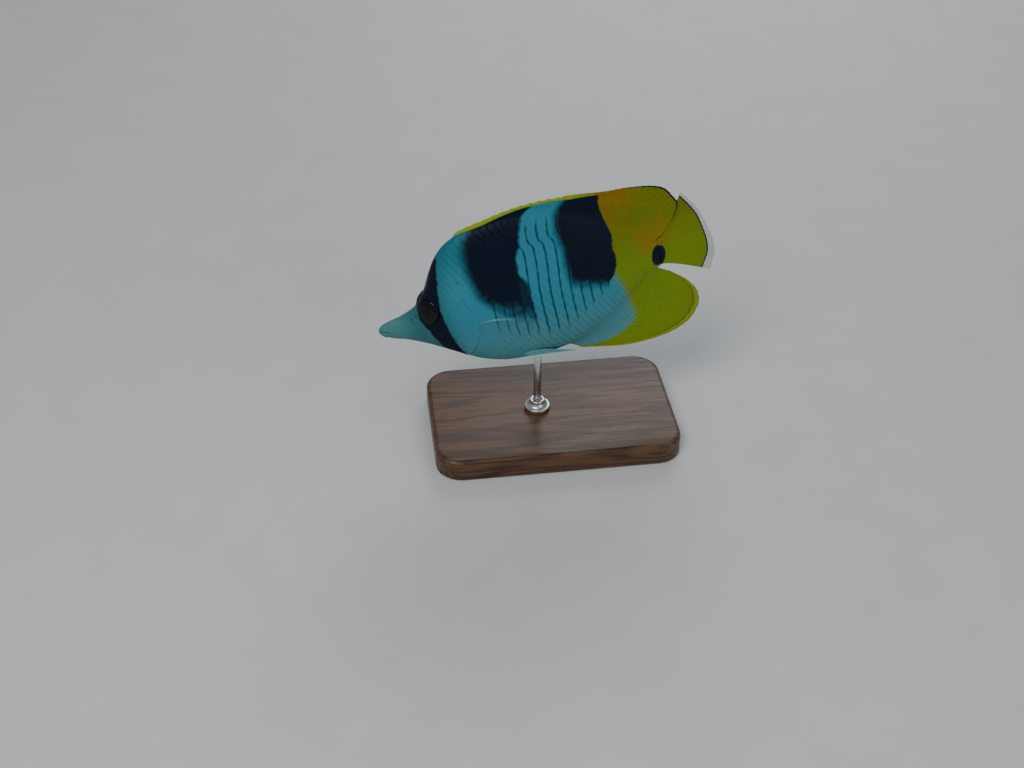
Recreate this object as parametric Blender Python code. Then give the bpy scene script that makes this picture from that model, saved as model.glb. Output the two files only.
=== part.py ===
"""Pacific double-saddle butterflyfish, life size, swimming nose down on a plain display stand.

Metres, +Z up. The fish heads towards -X, its left side faces -Y, and its tail swings towards +Y.
Each piece is first made in the straight fish frame: x runs back from the snout's tip, y to the
fish's right and z up its back. Shape tables there are in shares of the standard length, which
runs from the snout's tip to the root of the tail fin. The tail is then bent, and an empty
pitches the whole fish and holds it over the base.
"""

import math

import bmesh
import bpy
import numpy as np

# Driving sizes
STANDARD_LENGTH = 0.112
PITCH = math.radians(11.5)
GAP = 0.0003
BEYOND = 0.2  # standard lengths, clear past the body on any side

# The tail's bend: it starts at one station, turns evenly, and runs straight after the other
BEND_START = 0.66
BEND_END = 1.08
BEND_ANGLE = math.radians(27)

# Body outline: (station, height) and (station, half width), in standard lengths
BACK = [
    (0.0, -0.001),
    (0.007, 0.008),
    (0.03, 0.019),
    (0.093, 0.036),
    (0.140, 0.060),
    (0.176, 0.103),
    (0.206, 0.160),
    (0.234, 0.209),
    (0.268, 0.250),
    (0.315, 0.281),
    (0.40, 0.304),
    (0.50, 0.312),
    (0.60, 0.302),
    (0.70, 0.266),
    (0.80, 0.200),
    (0.88, 0.126),
    (0.94, 0.070),
    (1.0, 0.050),
]
BELLY = [
    (0.0, -0.012),
    (0.007, -0.024),
    (0.03, -0.038),
    (0.093, -0.064),
    (0.156, -0.098),
    (0.20, -0.130),
    (0.251, -0.168),
    (0.305, -0.204),
    (0.372, -0.233),
    (0.45, -0.248),
    (0.55, -0.249),
    (0.64, -0.233),
    (0.74, -0.192),
    (0.84, -0.130),
    (0.92, -0.074),
    (1.0, -0.050),
]
HALF_WIDTH = [
    (0.0, 0.004),
    (0.007, 0.0125),
    (0.03, 0.020),
    (0.093, 0.035),
    (0.156, 0.055),
    (0.216, 0.070),
    (0.30, 0.082),
    (0.40, 0.086),
    (0.50, 0.081),
    (0.60, 0.071),
    (0.70, 0.058),
    (0.80, 0.043),
    (0.90, 0.027),
    (1.0, 0.0105),
]
WIDEST_SHARE = 0.46  # of the way from belly to back
BACK_POWER = 1.72  # of the cross-section's superellipse: lower is more of an edge
BELLY_POWER = 2.05
BODY_STATIONS = 44
BODY_SIDES = 36
BODY_CROWDING = 1.35  # crowds the stations towards the snout

# Where the body parts: the gill opening as (height, station), and the tail stalk's front
GILL_OPENING = [
    (-0.40, 0.238),
    (-0.20, 0.248),
    (-0.14, 0.292),
    (-0.07, 0.326),
    (0.0, 0.338),
    (0.07, 0.328),
    (0.14, 0.300),
    (0.21, 0.272),
    (0.27, 0.262),
    (0.42, 0.262),
]
STALK_STATION = 0.925
COVER_EDGE = [
    (0.300, 0.102),
    (0.270, 0.097),
    (0.250, 0.078),
    (0.243, 0.044),
    (0.240, 0.0),
    (0.239, -0.044),
    (0.246, -0.084),
    (0.265, -0.114),
    (0.300, -0.128),
]
COVER_RIM = (0.265, -0.114)  # where the cover's flat inner face comes nearest to the skin
GILL_COVER_DEPTH = 0.0196  # of the cover there
GILL_COVER_RISE = 0.00018  # of the cover out of the head, in metres
MOUTH_HEIGHT = -0.006
MOUTH_CORNER = 0.036
MOUTH_ARCH = 0.001
MOUTH_DROP = 0.006  # of its corner
CHIN_STATION = 0.105  # where the jaw's rear edge would run out far below
LIP_RADIUS = 0.0068
LIP_SPREAD = 0.0072  # of each lip's middle from the mouth line

# Eye
EYE_STATION = 0.179
EYE_HEIGHT = 0.055
EYE_RADIUS = 0.0395
EYE_DEPTH = 0.023
EYE_BULGE = 0.0075  # how far the clear front stands out of the head
ORBIT_RIM = 0.0034
ORBIT_SINK = 0.002
EYE_SIDES = 24
NOSTRILS = [(0.118, 0.026), (0.134, 0.036)]
NOSTRIL_RADIUS = 0.0050
NOSTRIL_DEPTH = 0.009

# Dorsal fin: folded spines, then soft rays
SPINE_COUNT = 12
DORSAL_FIRST = 0.312
DORSAL_SPINES_END = 0.635
SPINE_LEAN = 0.050
SPINE_RISE = 0.019
SPINE_CLIMB = 0.016  # more at the last spine than at the first
SPINE_JOIN = 0.012  # more again where the last ones meet the soft rays
DORSAL_RAY_COUNT = 24
DORSAL_LAST = 0.945
DORSAL_MARGIN = [
    (0.690, 0.324),
    (0.760, 0.318),
    (0.840, 0.304),
    (0.920, 0.285),
    (0.990, 0.260),
    (1.040, 0.226),
    (1.066, 0.183),
    (1.078, 0.150),
    (1.063, 0.127),
    (1.032, 0.096),
    (0.990, 0.067),
]

# Anal fin: three spines, then soft rays
ANAL_SPINE_COUNT = 3
ANAL_RAY_COUNT = 20
ANAL_FIRST = 0.600
ANAL_LAST = 0.945
ANAL_MARGIN = [
    (0.655, -0.272),
    (0.700, -0.285),
    (0.770, -0.305),
    (0.850, -0.325),
    (0.930, -0.338),
    (1.010, -0.339),
    (1.074, -0.325),
    (1.112, -0.290),
    (1.114, -0.243),
    (1.084, -0.178),
    (1.018, -0.100),
]

# Tail fin
TAIL_RAY_COUNT = 17
TAIL_ROOT_HEIGHT = 0.042
TAIL_FLARE = 1.3  # its outer rays leave the stalk level and curve outwards
TAIL_MARGIN = [
    (1.104, 0.176),
    (1.134, 0.130),
    (1.162, 0.080),
    (1.190, 0.004),
    (1.206, -0.060),
    (1.209, -0.120),
    (1.180, -0.182),
]

# Paired fins: root, length along the fin, spread across it, and how it lies
PECTORAL_RAY_COUNT = 15
PECTORAL_STATION = 0.352
PECTORAL_HEIGHT = -0.036
PECTORAL_ROOT = 0.040
PECTORAL_LENGTH = 0.205
PECTORAL_SPREAD = 0.125
PECTORAL_DROOP = math.radians(17)
PECTORAL_FLARE = math.radians(13)
PELVIC_RAY_COUNT = 5
PELVIC_STATION = 0.384
PELVIC_SIDE = 0.021
PELVIC_HEIGHT = -0.230
PELVIC_ROOT = 0.020
PELVIC_LENGTH = 0.250
PELVIC_SPREAD = 0.050
PELVIC_DROOP = math.radians(4.6)
PELVIC_TOE_OUT = math.radians(3.2)
PELVIC_DIVE = (0.012, 0.024)  # inwards and upwards, of its root into the belly
PELVIC_LEAN = math.radians(33)

# Thickness of the fins at root and margin, and their raised rays, in metres
MEDIAN_ROOT = 0.0019
MEDIAN_MARGIN = 0.0006
PAIRED_ROOT = 0.0013
PAIRED_MARGIN = 0.0006
RAY_RISE = 0.00022
SPINE_BULK = 0.00042
ROOT_SINK = 0.022  # how deep a fin starts inside the body before it is cut back

# Stand
CLEARANCE = 0.027  # from the base's top to the belly
ROD_RADIUS = 0.0015
ROD_IN_BELLY = 0.009
ROD_STATION = 0.500
ROD_SIDES = 24
BASE_LENGTH = 0.096
BASE_WIDTH = 0.060
BASE_HEIGHT = 0.009
BASE_CORNER = 0.010
BASE_EDGE = 0.0016
SOCKET_DEPTH = 0.006
COLLAR_RADIUS = 0.0050
COLLAR_HEIGHT = 0.0042

# Colours are (red, green, blue), roughness and metallic value
FINISHES = {
    "pale_skin": ((0.40, 0.60, 0.66), 0.42, 0.0),
    "yellow_skin": ((0.62, 0.60, 0.02), 0.42, 0.0),
    "clear_fin": ((0.70, 0.80, 0.80), 0.30, 0.0),
    "eye_black": ((0.010, 0.010, 0.012), 0.12, 0.0),
    "dark_wood": ((0.10, 0.052, 0.028), 0.45, 0.0),
    "steel": ((0.56, 0.57, 0.58), 0.28, 1.0),
}


def unit(vector):
    vector = np.array(vector, float)
    return vector / np.linalg.norm(vector)


def smooth_curve(knots):
    """A function that runs smoothly through (position, value) knots."""
    places, values = np.array(knots, float).T
    slopes = np.gradient(values, places)

    def value(place):
        index = np.clip(np.searchsorted(places, place) - 1, 0, len(places) - 2)
        span = places[index + 1] - places[index]
        t = np.clip((place - places[index]) / span, 0, 1)
        near = (1 + 2 * t) * (1 - t) ** 2 * values[index] + t * (1 - t) ** 2 * span * slopes[index]
        far = t**2 * (3 - 2 * t) * values[index + 1] - t**2 * (1 - t) * span * slopes[index + 1]
        return near + far

    return value


def smooth_path(points, count):
    """That many points, evenly spaced by knot length, on a smooth path through a few points."""
    points = np.array(points, float)
    steps = np.linalg.norm(np.diff(points, axis=0), axis=1)
    along = np.concatenate([[0], np.cumsum(steps)])
    curves = [smooth_curve(list(zip(along, axis))) for axis in points.T]
    at = np.linspace(0, along[-1], count)
    return np.stack([curve(at) for curve in curves], axis=1)


back_height = smooth_curve(BACK)
belly_height = smooth_curve(BELLY)
half_width = smooth_curve(HALF_WIDTH)
gill_station = smooth_curve(GILL_OPENING)


def side_at(station, height):
    """Half width of the body at a station and height."""
    top, bottom, width = back_height(station), belly_height(station), half_width(station)
    middle = bottom + WIDEST_SHARE * (top - bottom)
    above = height > middle
    reach = (height - middle) / (top - middle) if above else (middle - height) / (middle - bottom)
    power = BACK_POWER if above else BELLY_POWER
    return width * (1 - min(reach, 1) ** power) ** (1 / power)


def finish(name):
    found = bpy.data.materials.get(name)
    if found:
        return found
    colour, roughness, metallic = FINISHES[name]
    material = bpy.data.materials.new(name)
    material.use_nodes = True
    shader = material.node_tree.nodes["Principled BSDF"]
    shader.inputs["Base Color"].default_value = (*colour, 1)
    shader.inputs["Roughness"].default_value = roughness
    shader.inputs["Metallic"].default_value = metallic
    material.diffuse_color = (*colour, 1)
    return material


def solid(name, points, faces, material=None):
    """A mesh object from points in metres and faces, with its faces turned outwards."""
    mesh = bpy.data.meshes.new(name)
    mesh.from_pydata([tuple(p) for p in points], [], [tuple(int(i) for i in f) for f in faces])
    builder = bmesh.new()
    builder.from_mesh(mesh)
    bmesh.ops.recalc_face_normals(builder, faces=builder.faces)
    builder.to_mesh(mesh)
    builder.free()
    if material:
        mesh.materials.append(finish(material))
    obj = bpy.data.objects.new(name, mesh)
    bpy.context.scene.collection.objects.link(obj)
    return obj


def loft(name, rings, material=None):
    """A closed solid through rings of points, fanned shut at both ends."""
    rings = np.array(rings, float)
    count, sides = rings.shape[:2]
    faces = []
    for row in range(count - 1):
        for side in range(sides):
            after = (side + 1) % sides
            low, high = row * sides, (row + 1) * sides
            faces.append((low + side, low + after, high + after, high + side))
    start, end = count * sides, count * sides + 1
    for side in range(sides):
        after = (side + 1) % sides
        faces.append((start, after, side))
        faces.append((end, (count - 1) * sides + side, (count - 1) * sides + after))
    centres = [rings[0].mean(axis=0), rings[-1].mean(axis=0)]
    return solid(name, np.vstack([rings.reshape(-1, 3), centres]), faces, material)


def circle(centre, radius, first, second, sides):
    """Points on a circle round a centre, in the plane of two square directions."""
    angles = 2 * np.pi * np.arange(sides)[:, None] / sides
    return centre + radius * (np.cos(angles) * np.array(first) + np.sin(angles) * np.array(second))


def prism(name, outline, near=-BEYOND, far=BEYOND):
    """An outline of (station, height) points drawn out from y = near to y = far, in standard lengths."""
    outline = np.array(outline, float) * STANDARD_LENGTH
    count = len(outline)
    points = [(x, y * STANDARD_LENGTH, z) for y in (near, far) for x, z in outline]
    faces = [tuple(range(count)), tuple(range(2 * count - 1, count - 1, -1))]
    for i in range(count):
        j = (i + 1) % count
        faces.append((i, j, count + j, count + i))
    return solid(name, points, faces)


def combine(obj, others, operation):
    """Applies one Boolean of a collection of solids to an object, and removes them."""
    group = bpy.data.collections.new("tools")
    bpy.context.scene.collection.children.link(group)
    for other in others:
        group.objects.link(other)
    modifier = obj.modifiers.new("combine", "BOOLEAN")
    modifier.operation = operation
    modifier.operand_type = "COLLECTION"
    modifier.collection = group
    modifier.solver = "EXACT"
    bpy.context.view_layer.update()
    graph = bpy.context.evaluated_depsgraph_get()
    mesh = bpy.data.meshes.new_from_object(obj.evaluated_get(graph))
    obj.modifiers.clear()
    obj.data = mesh
    for other in others:
        bpy.data.objects.remove(other)
    bpy.data.collections.remove(group)
    keep_largest(obj)
    return obj


def keep_largest(obj):
    """Keeps only the closed surface that spans the most."""
    builder = bmesh.new()
    builder.from_mesh(obj.data)
    unseen, pieces = set(builder.verts), []
    while unseen:
        edge, piece = [unseen.pop()], set()
        while edge:
            vert = edge.pop()
            piece.add(vert)
            for link in vert.link_edges:
                other = link.other_vert(vert)
                if other in unseen:
                    unseen.discard(other)
                    edge.append(other)
        pieces.append(piece)

    def span(piece):
        places = np.array([v.co for v in piece])
        return np.linalg.norm(places.max(axis=0) - places.min(axis=0))

    largest = max(pieces, key=span)
    bmesh.ops.delete(builder, geom=[v for v in builder.verts if v not in largest], context="VERTS")
    builder.to_mesh(obj.data)
    builder.free()


def body(name, grow=0.0, sides=BODY_SIDES, stations=BODY_STATIONS):
    """The whole body from lips to tail fin root, as one solid, grown outwards by some metres."""
    rings = []
    for step in range(stations):
        station = (step / (stations - 1)) ** BODY_CROWDING
        top = back_height(station) * STANDARD_LENGTH + grow
        bottom = belly_height(station) * STANDARD_LENGTH - grow
        width = half_width(station) * STANDARD_LENGTH + grow
        middle = bottom + WIDEST_SHARE * (top - bottom)
        along = station * STANDARD_LENGTH + (grow if step == stations - 1 else 0)
        ring = []
        for side in range(sides):
            angle = 2 * math.pi * side / sides
            across, up = math.cos(angle), math.sin(angle)
            power = BACK_POWER if up >= 0 else BELLY_POWER
            y = width * math.copysign(abs(across) ** (2 / power), across)
            reach = top - middle if up >= 0 else middle - bottom
            ring.append((along, y, middle + reach * math.copysign(abs(up) ** (2 / power), up)))
        rings.append(ring)
    return loft(name, rings)


def gill_line(shift, count=22):
    """Points down the gill opening, moved back by some metres square to the line."""
    heights = np.linspace(GILL_OPENING[-1][0], GILL_OPENING[0][0], count)
    stations = gill_station(heights)
    slopes = np.gradient(stations, heights)
    return [
        (station + shift / STANDARD_LENGTH * math.hypot(1, slope), height)
        for station, height, slope in zip(stations, heights, slopes)
    ]


def mouth_line(out=0.0):
    """The mouth from before the snout's tip to its corner, raised and lengthened by a margin."""
    return [
        (-BEYOND, MOUTH_HEIGHT + out),
        (MOUTH_CORNER * 0.5, MOUTH_HEIGHT + MOUTH_ARCH + out),
        (MOUTH_CORNER + out, MOUTH_HEIGHT - MOUTH_DROP + out),
    ]


def lower_jaw_outline(grow):
    """Mouth line and chin, as the outline of all that lies below and before them."""
    out = grow / STANDARD_LENGTH
    return mouth_line(out) + [(CHIN_STATION + out, -BEYOND), (-BEYOND, -BEYOND)]


def above_mouth():
    """All that lies over the mouth line, as an outline."""
    return mouth_line() + [(BEYOND, MOUTH_HEIGHT - MOUTH_DROP), (BEYOND, BEYOND), (-BEYOND, BEYOND)]


def gill_cover_outline(grow):
    """The cover's outline: its rounded front edge, then on past the gill opening."""
    out = grow / STANDARD_LENGTH
    edge = smooth_path(COVER_EDGE, 22)
    ways = np.gradient(edge, axis=0)
    ways /= np.linalg.norm(ways, axis=1)[:, None]
    outline = [(x + out * way[1], z - out * way[0]) for (x, z), way in zip(edge, ways)]
    return outline + [(2 * BEYOND, outline[-1][1]), (2 * BEYOND, outline[0][1])]


def eye_frame(side):
    """Where the eye's axis leaves the skin, and its outward, forward and upward directions."""
    step = 0.01

    def change(along, up):
        ahead = side_at(EYE_STATION + along, EYE_HEIGHT + up)
        return (ahead - side_at(EYE_STATION - along, EYE_HEIGHT - up)) / (2 * step)

    outward = unit((-change(step, 0), side, -change(0, step)))
    upward = unit(np.array((0, 0, 1.0)) - outward[2] * outward)
    forward = np.cross(upward, outward) * -side
    centre = np.array([EYE_STATION, side * side_at(EYE_STATION, EYE_HEIGHT), EYE_HEIGHT])
    return centre, outward, forward, upward


def turned(name, profile, frame, material=None):
    """A solid turned round the eye's axis: profile is (radius, height out of the skin) pairs."""
    centre, outward, forward, upward = frame
    rings = [
        circle(centre + outward * height, radius, forward, upward, EYE_SIDES)
        for radius, height in profile
    ]
    return loft(name, np.array(rings) * STANDARD_LENGTH, material)


def eye_profile(grow):
    """The eyeball from its back to its clear front."""
    out = grow / STANDARD_LENGTH
    back = [
        ((EYE_RADIUS + out) * math.sin(angle), -(EYE_DEPTH + out) * math.cos(angle))
        for angle in np.radians(np.linspace(12, 90, 6))
    ]
    front = [
        ((EYE_RADIUS + out) * math.cos(angle), (EYE_BULGE + out) * math.sin(angle))
        for angle in np.radians(np.linspace(18, 80, 5))
    ]
    return back + front


def orbit_rim(side):
    """The raised rim of skin round the eye."""
    centre, outward, forward, upward = eye_frame(side)
    sides, rounds = 28, 6
    points, faces = [], []
    for step in range(sides):
        angle = 2 * math.pi * step / sides
        radial = forward * math.cos(angle) + upward * math.sin(angle)
        middle = centre + radial * (EYE_RADIUS + ORBIT_RIM * 0.8) - outward * ORBIT_SINK
        points.extend(circle(middle, ORBIT_RIM, radial, outward, rounds) * STANDARD_LENGTH)
        here, ahead = step * rounds, (step + 1) % sides * rounds
        for turn in range(rounds):
            over = (turn + 1) % rounds
            faces.append((here + turn, ahead + turn, ahead + over, here + over))
    return solid("orbit", points, faces)


def ball(name, centre, radii, sides, rows):
    """An ellipsoid with its centre and radii in standard lengths."""
    rings = []
    for row in range(rows):
        polar = math.pi * (row + 0.5) / rows
        middle = np.array(centre) - (radii[0] * math.cos(polar), 0, 0)
        round_it = circle(np.zeros(3), math.sin(polar), (0, radii[1], 0), (0, 0, radii[2]), sides)
        rings.append(middle + round_it)
    return loft(name, np.array(rings) * STANDARD_LENGTH)


def lip(name, height):
    """A lip as a tapered tube from one corner of the mouth round the snout's tip to the other."""
    steps, sides = 15, 8
    foremost = LIP_RADIUS * 0.9
    rings = []
    for turn in np.linspace(-math.pi / 2, math.pi / 2, steps):
        station = MOUTH_CORNER - (MOUTH_CORNER - foremost) * math.cos(turn) ** 0.8
        centre = (station, 0.97 * side_at(station, height) * math.sin(turn), height)
        away = (-math.cos(turn), math.sin(turn), 0)
        radius = LIP_RADIUS * (0.55 + 0.45 * math.cos(turn))
        rings.append(circle(np.array(centre), radius, away, (0, 0, 1), sides))
    return loft(name, np.array(rings) * STANDARD_LENGTH)


def body_parts():
    """Cuts the body into lower jaw, head, gill covers, trunk and tail stalk."""
    gap = GAP / STANDARD_LENGTH
    low, high = -2 * BEYOND, 2 * BEYOND
    head_region = [(low, low), (low, high)] + gill_line(0)
    trunk_region = gill_line(GAP) + [(STALK_STATION, low), (STALK_STATION, high)]
    stalk_front = STALK_STATION + gap
    stalk_region = [(stalk_front, low), (stalk_front, high), (1 + high, high), (1 + high, low)]

    jaw = body("lower_jaw")
    combine(jaw, [prism("jaw_region", lower_jaw_outline(0))], "INTERSECT")
    combine(jaw, [lip("lower_lip", MOUTH_HEIGHT - LIP_SPREAD)], "UNION")
    combine(jaw, [prism("mouth", above_mouth())], "DIFFERENCE")

    head = body("head")
    combine(head, [prism("head_region", head_region)], "INTERSECT")
    upper_lip = lip("upper_lip", MOUTH_HEIGHT + LIP_SPREAD)
    combine(head, [orbit_rim(-1), orbit_rim(1), upper_lip], "UNION")
    cuts = [prism("jaw_space", lower_jaw_outline(GAP))]
    for side in (-1, 1):
        cuts.append(turned("socket", eye_profile(GAP), eye_frame(side)))
        cuts += nostrils(side)
        reach = sorted((side * gill_cover_inner(-gap), side * BEYOND))
        cuts.append(prism("cover_space", gill_cover_outline(GAP), *reach))
    combine(head, cuts, "DIFFERENCE")

    covers = []
    for side, word in ((-1, "left"), (1, "right")):
        cover = body("gill_cover_" + word, grow=GILL_COVER_RISE)
        combine(cover, [prism("region", head_region)], "INTERSECT")
        reach = sorted((side * gill_cover_inner(0), side * BEYOND))
        combine(cover, [prism("cover", gill_cover_outline(0), *reach)], "INTERSECT")
        covers.append(cover)

    trunk = body("trunk")
    combine(trunk, [prism("trunk_region", trunk_region)], "INTERSECT")
    stalk = body("tail_stalk")
    combine(stalk, [prism("stalk_region", stalk_region)], "INTERSECT")
    for obj in (jaw, head, *covers, trunk):
        dress(obj, "pale_skin")
    dress(stalk, "yellow_skin")
    return [jaw, head, *covers, trunk, stalk]


def nostrils(side):
    """The two small pits before the eye."""
    pits = []
    for station, height in NOSTRILS:
        centre = (station, side * side_at(station, height), height)
        radii = (NOSTRIL_RADIUS, NOSTRIL_DEPTH, NOSTRIL_RADIUS)
        pits.append(ball("nostril", centre, radii, 8, 5))
    return pits


def gill_cover_inner(grow):
    """How far from the middle the gill cover's flat inner face lies."""
    return side_at(*COVER_RIM) - GILL_COVER_DEPTH + grow


def dress(obj, material):
    obj.data.materials.clear()
    obj.data.materials.append(finish(material))


def eyes():
    return [
        turned("eye_" + word, eye_profile(0), eye_frame(side), "eye_black")
        for side, word in ((-1, "left"), (1, "right"))
    ]


def sheet(name, centres, halves, across, material):
    """A fin as one solid: a grid of centre points, half thicknesses, and the way across it.

    Rows run from root to margin and columns from ray to ray. Both faces share one way of
    splitting their quads, so they never cross.
    """
    rows, columns = halves.shape
    near = centres - across * halves[..., None]
    far = centres + across * halves[..., None]
    points = np.concatenate([near.reshape(-1, 3), far.reshape(-1, 3)])
    offset = rows * columns
    faces = []
    for row in range(rows - 1):
        for column in range(columns - 1):
            a, b = row * columns + column, row * columns + column + 1
            c, d = b + columns, a + columns
            faces += [(a, b, c), (a, c, d)]
            faces += [(a + offset, c + offset, b + offset), (a + offset, d + offset, c + offset)]
    rim = list(range(columns))
    rim += [row * columns + columns - 1 for row in range(1, rows)]
    rim += [(rows - 1) * columns + column for column in range(columns - 2, -1, -1)]
    rim += [row * columns for row in range(rows - 2, 0, -1)]
    for here, there in zip(rim, rim[1:] + rim[:1]):
        faces += [(here, here + offset, there + offset), (here, there + offset, there)]
    return solid(name, points, faces, material)


def ray_columns(count):
    """Column places from 0 to 1, and 1 on a ray or 0 between two, for that many rays."""
    places = np.linspace(0, 1, 2 * count + 1)
    on_ray = np.arange(2 * count + 1) % 2 == 1
    return places, on_ray.astype(float)


def median_fin(name, root, margin, rays, spines=0, rows=6, scallop=0.012, flare=1.0):
    """A fin in the middle plane. root and margin give (station, height) for shares along the fin.

    A flare over 1 curves its outer rays away from its middle.
    """
    shares, on_ray = ray_columns(rays)
    depths = np.linspace(0, 1, rows) ** 0.9
    halves = np.zeros((rows, len(shares)))
    centres = np.zeros((rows, len(shares), 3))
    for column, (share, ray) in enumerate(zip(shares, on_ray)):
        start, end = np.array(root(share)), np.array(margin(share))
        reach = end - start
        rise = SPINE_BULK if share < spines / rays else RAY_RISE
        for row, depth in enumerate(depths):
            cut = 1 - scallop * (1 - ray)
            place = start + reach * cut * (depth, depth**flare)
            plain = MEDIAN_ROOT + (MEDIAN_MARGIN - MEDIAN_ROOT) * depth**0.7
            taper = 1 - 0.55 * depth
            halves[row, column] = plain / 2 + rise * taper * ray
            centres[row, column] = (place[0] * STANDARD_LENGTH, 0, place[1] * STANDARD_LENGTH)
    return sheet(name, centres, halves, np.array([0, 1.0, 0]), "yellow_skin")


def spiny_dorsal():
    """The folded spines: each lies back along the ridge and its tip stands a little clear."""
    gap = GAP / STANDARD_LENGTH

    def root(share):
        station = DORSAL_FIRST + share * (DORSAL_SPINES_END - DORSAL_FIRST)
        return station, back_height(station) - ROOT_SINK

    def margin(share):
        station = root(share)[0] + SPINE_LEAN - gap
        rise = SPINE_RISE * (0.55 + 0.45 * min(1, share * 4)) + SPINE_CLIMB * share
        rise += SPINE_JOIN * share**6
        return station, back_height(station) + rise

    return median_fin("dorsal_fin_spiny", root, margin, SPINE_COUNT, SPINE_COUNT, rows=4, scallop=0.07)


def outline_reader(points):
    """A function from a share along a smooth outline to its (station, height)."""
    path = smooth_path(points, 80)
    steps = np.concatenate([[0], np.cumsum(np.linalg.norm(np.diff(path, axis=0), axis=1))])
    steps /= steps[-1]
    return lambda share: (np.interp(share, steps, path[:, 0]), np.interp(share, steps, path[:, 1]))


def soft_dorsal():
    margin = outline_reader(DORSAL_MARGIN)

    def root(share):
        station = DORSAL_SPINES_END + share * (DORSAL_LAST - DORSAL_SPINES_END)
        return station, back_height(station) - ROOT_SINK

    return median_fin("dorsal_fin_soft", root, margin, DORSAL_RAY_COUNT)


def anal_fin():
    margin = outline_reader(ANAL_MARGIN)

    def root(share):
        station = ANAL_FIRST + share * (ANAL_LAST - ANAL_FIRST)
        return station, belly_height(station) + ROOT_SINK

    rays = ANAL_SPINE_COUNT + ANAL_RAY_COUNT
    return median_fin("anal_fin", root, margin, rays, ANAL_SPINE_COUNT)


def tail_fin():
    margin = outline_reader(TAIL_MARGIN)

    def root(share):
        return 1.0 - ROOT_SINK, TAIL_ROOT_HEIGHT * (1 - 2 * share)

    return median_fin("tail_fin", root, margin, TAIL_RAY_COUNT, scallop=0.006, flare=TAIL_FLARE)


def paired_fin(name, origin, along, spread_way, dive, length, spreads, rays, shape, pivot, material):
    """A paired fin as a fan of rays, as wide at root and margin as spreads says.

    shape gives a ray's length share for its place in the fan, pivot says which share of the
    fan lies on the origin, and dive moves the root's own row into the body.
    """
    across = unit(np.cross(along, spread_way))
    shares, on_ray = ray_columns(rays)
    rows = 5
    depths = np.linspace(0, 1, rows)
    centres = np.zeros((rows, len(shares), 3))
    halves = np.zeros((rows, len(shares)))
    for column, (share, ray) in enumerate(zip(shares, on_ray)):
        lean = share - pivot
        for row, depth in enumerate(depths):
            cut = 1 - 0.015 * (1 - ray)
            reach = length * shape(share) * depth * cut
            fan = spreads[0] * (1 - depth) + spreads[1] * depth
            place = origin + along * reach + spread_way * lean * fan
            if row == 0:
                place += dive
            centres[row, column] = place * STANDARD_LENGTH
            plain = PAIRED_ROOT + (PAIRED_MARGIN - PAIRED_ROOT) * depth**0.7
            halves[row, column] = plain / 2 + RAY_RISE * 0.8 * (1 - 0.6 * depth) * ray
    return sheet(name, centres, halves, across, material)


def pectoral_fin(side, word):
    """It lies folded back on the flank, its upper rays the longest."""
    reach = side_at(PECTORAL_STATION, PECTORAL_HEIGHT)
    along = unit(
        (
            math.cos(PECTORAL_DROOP) * math.cos(PECTORAL_FLARE),
            side * math.sin(PECTORAL_FLARE),
            -math.sin(PECTORAL_DROOP),
        )
    )
    upward = np.array((math.sin(PECTORAL_DROOP), 0, math.cos(PECTORAL_DROOP)))
    spread_way = unit(upward - along * np.dot(upward, along))
    origin = np.array([PECTORAL_STATION, side * reach, PECTORAL_HEIGHT]) - along * ROOT_SINK
    return paired_fin(
        "pectoral_fin_" + word,
        origin,
        along,
        spread_way,
        (0, 0, 0),
        PECTORAL_LENGTH + ROOT_SINK,
        (PECTORAL_ROOT, PECTORAL_SPREAD),
        PECTORAL_RAY_COUNT,
        lambda share: 0.58 + 0.42 * math.sin(math.pi * (0.12 + 0.62 * share)),
        0.5,
        "clear_fin",
    )


def pelvic_fin(side, word):
    """It lies folded back along the belly, its spine along the lower edge."""
    along = unit((math.cos(PELVIC_DROOP), side * math.sin(PELVIC_TOE_OUT), -math.sin(PELVIC_DROOP)))
    upward = np.array((0, side * math.sin(PELVIC_LEAN), math.cos(PELVIC_LEAN)))
    spread_way = unit(upward - along * np.dot(upward, along))
    return paired_fin(
        "pelvic_fin_" + word,
        np.array([PELVIC_STATION, side * PELVIC_SIDE, PELVIC_HEIGHT]) - along * ROOT_SINK,
        along,
        spread_way,
        (0, -side * PELVIC_DIVE[0], PELVIC_DIVE[1]),
        PELVIC_LENGTH + ROOT_SINK,
        (PELVIC_ROOT, PELVIC_SPREAD),
        1 + PELVIC_RAY_COUNT,
        lambda share: 1 - 0.42 * share,
        0.0,
        "pale_skin",
    )


def fins():
    """Every fin, cut back to the skin that it grows from."""
    made = [spiny_dorsal(), soft_dorsal(), anal_fin(), tail_fin()]
    for side, word in ((-1, "left"), (1, "right")):
        made += [pectoral_fin(side, word), pelvic_fin(side, word)]
    for fin in made:
        combine(fin, [body("grown_body", GAP, 72, 70)], "DIFFERENCE")
    trim_spiny_dorsal(made[0])
    return made


def trim_spiny_dorsal(spiny):
    """Leaves a thin gap between the last spine and the first soft ray."""
    start = np.array([DORSAL_SPINES_END, back_height(DORSAL_SPINES_END) - ROOT_SINK])
    end = np.array(DORSAL_MARGIN[0])
    way = unit(end - start)
    back_off = np.array([way[1], -way[0]]) * GAP / STANDARD_LENGTH
    low, high = start - way * BEYOND - back_off, end + way * BEYOND - back_off
    behind = [low, high, high + (BEYOND, 0), low + (BEYOND, 0)]
    combine(spiny, [prism("behind", behind)], "DIFFERENCE")


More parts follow.
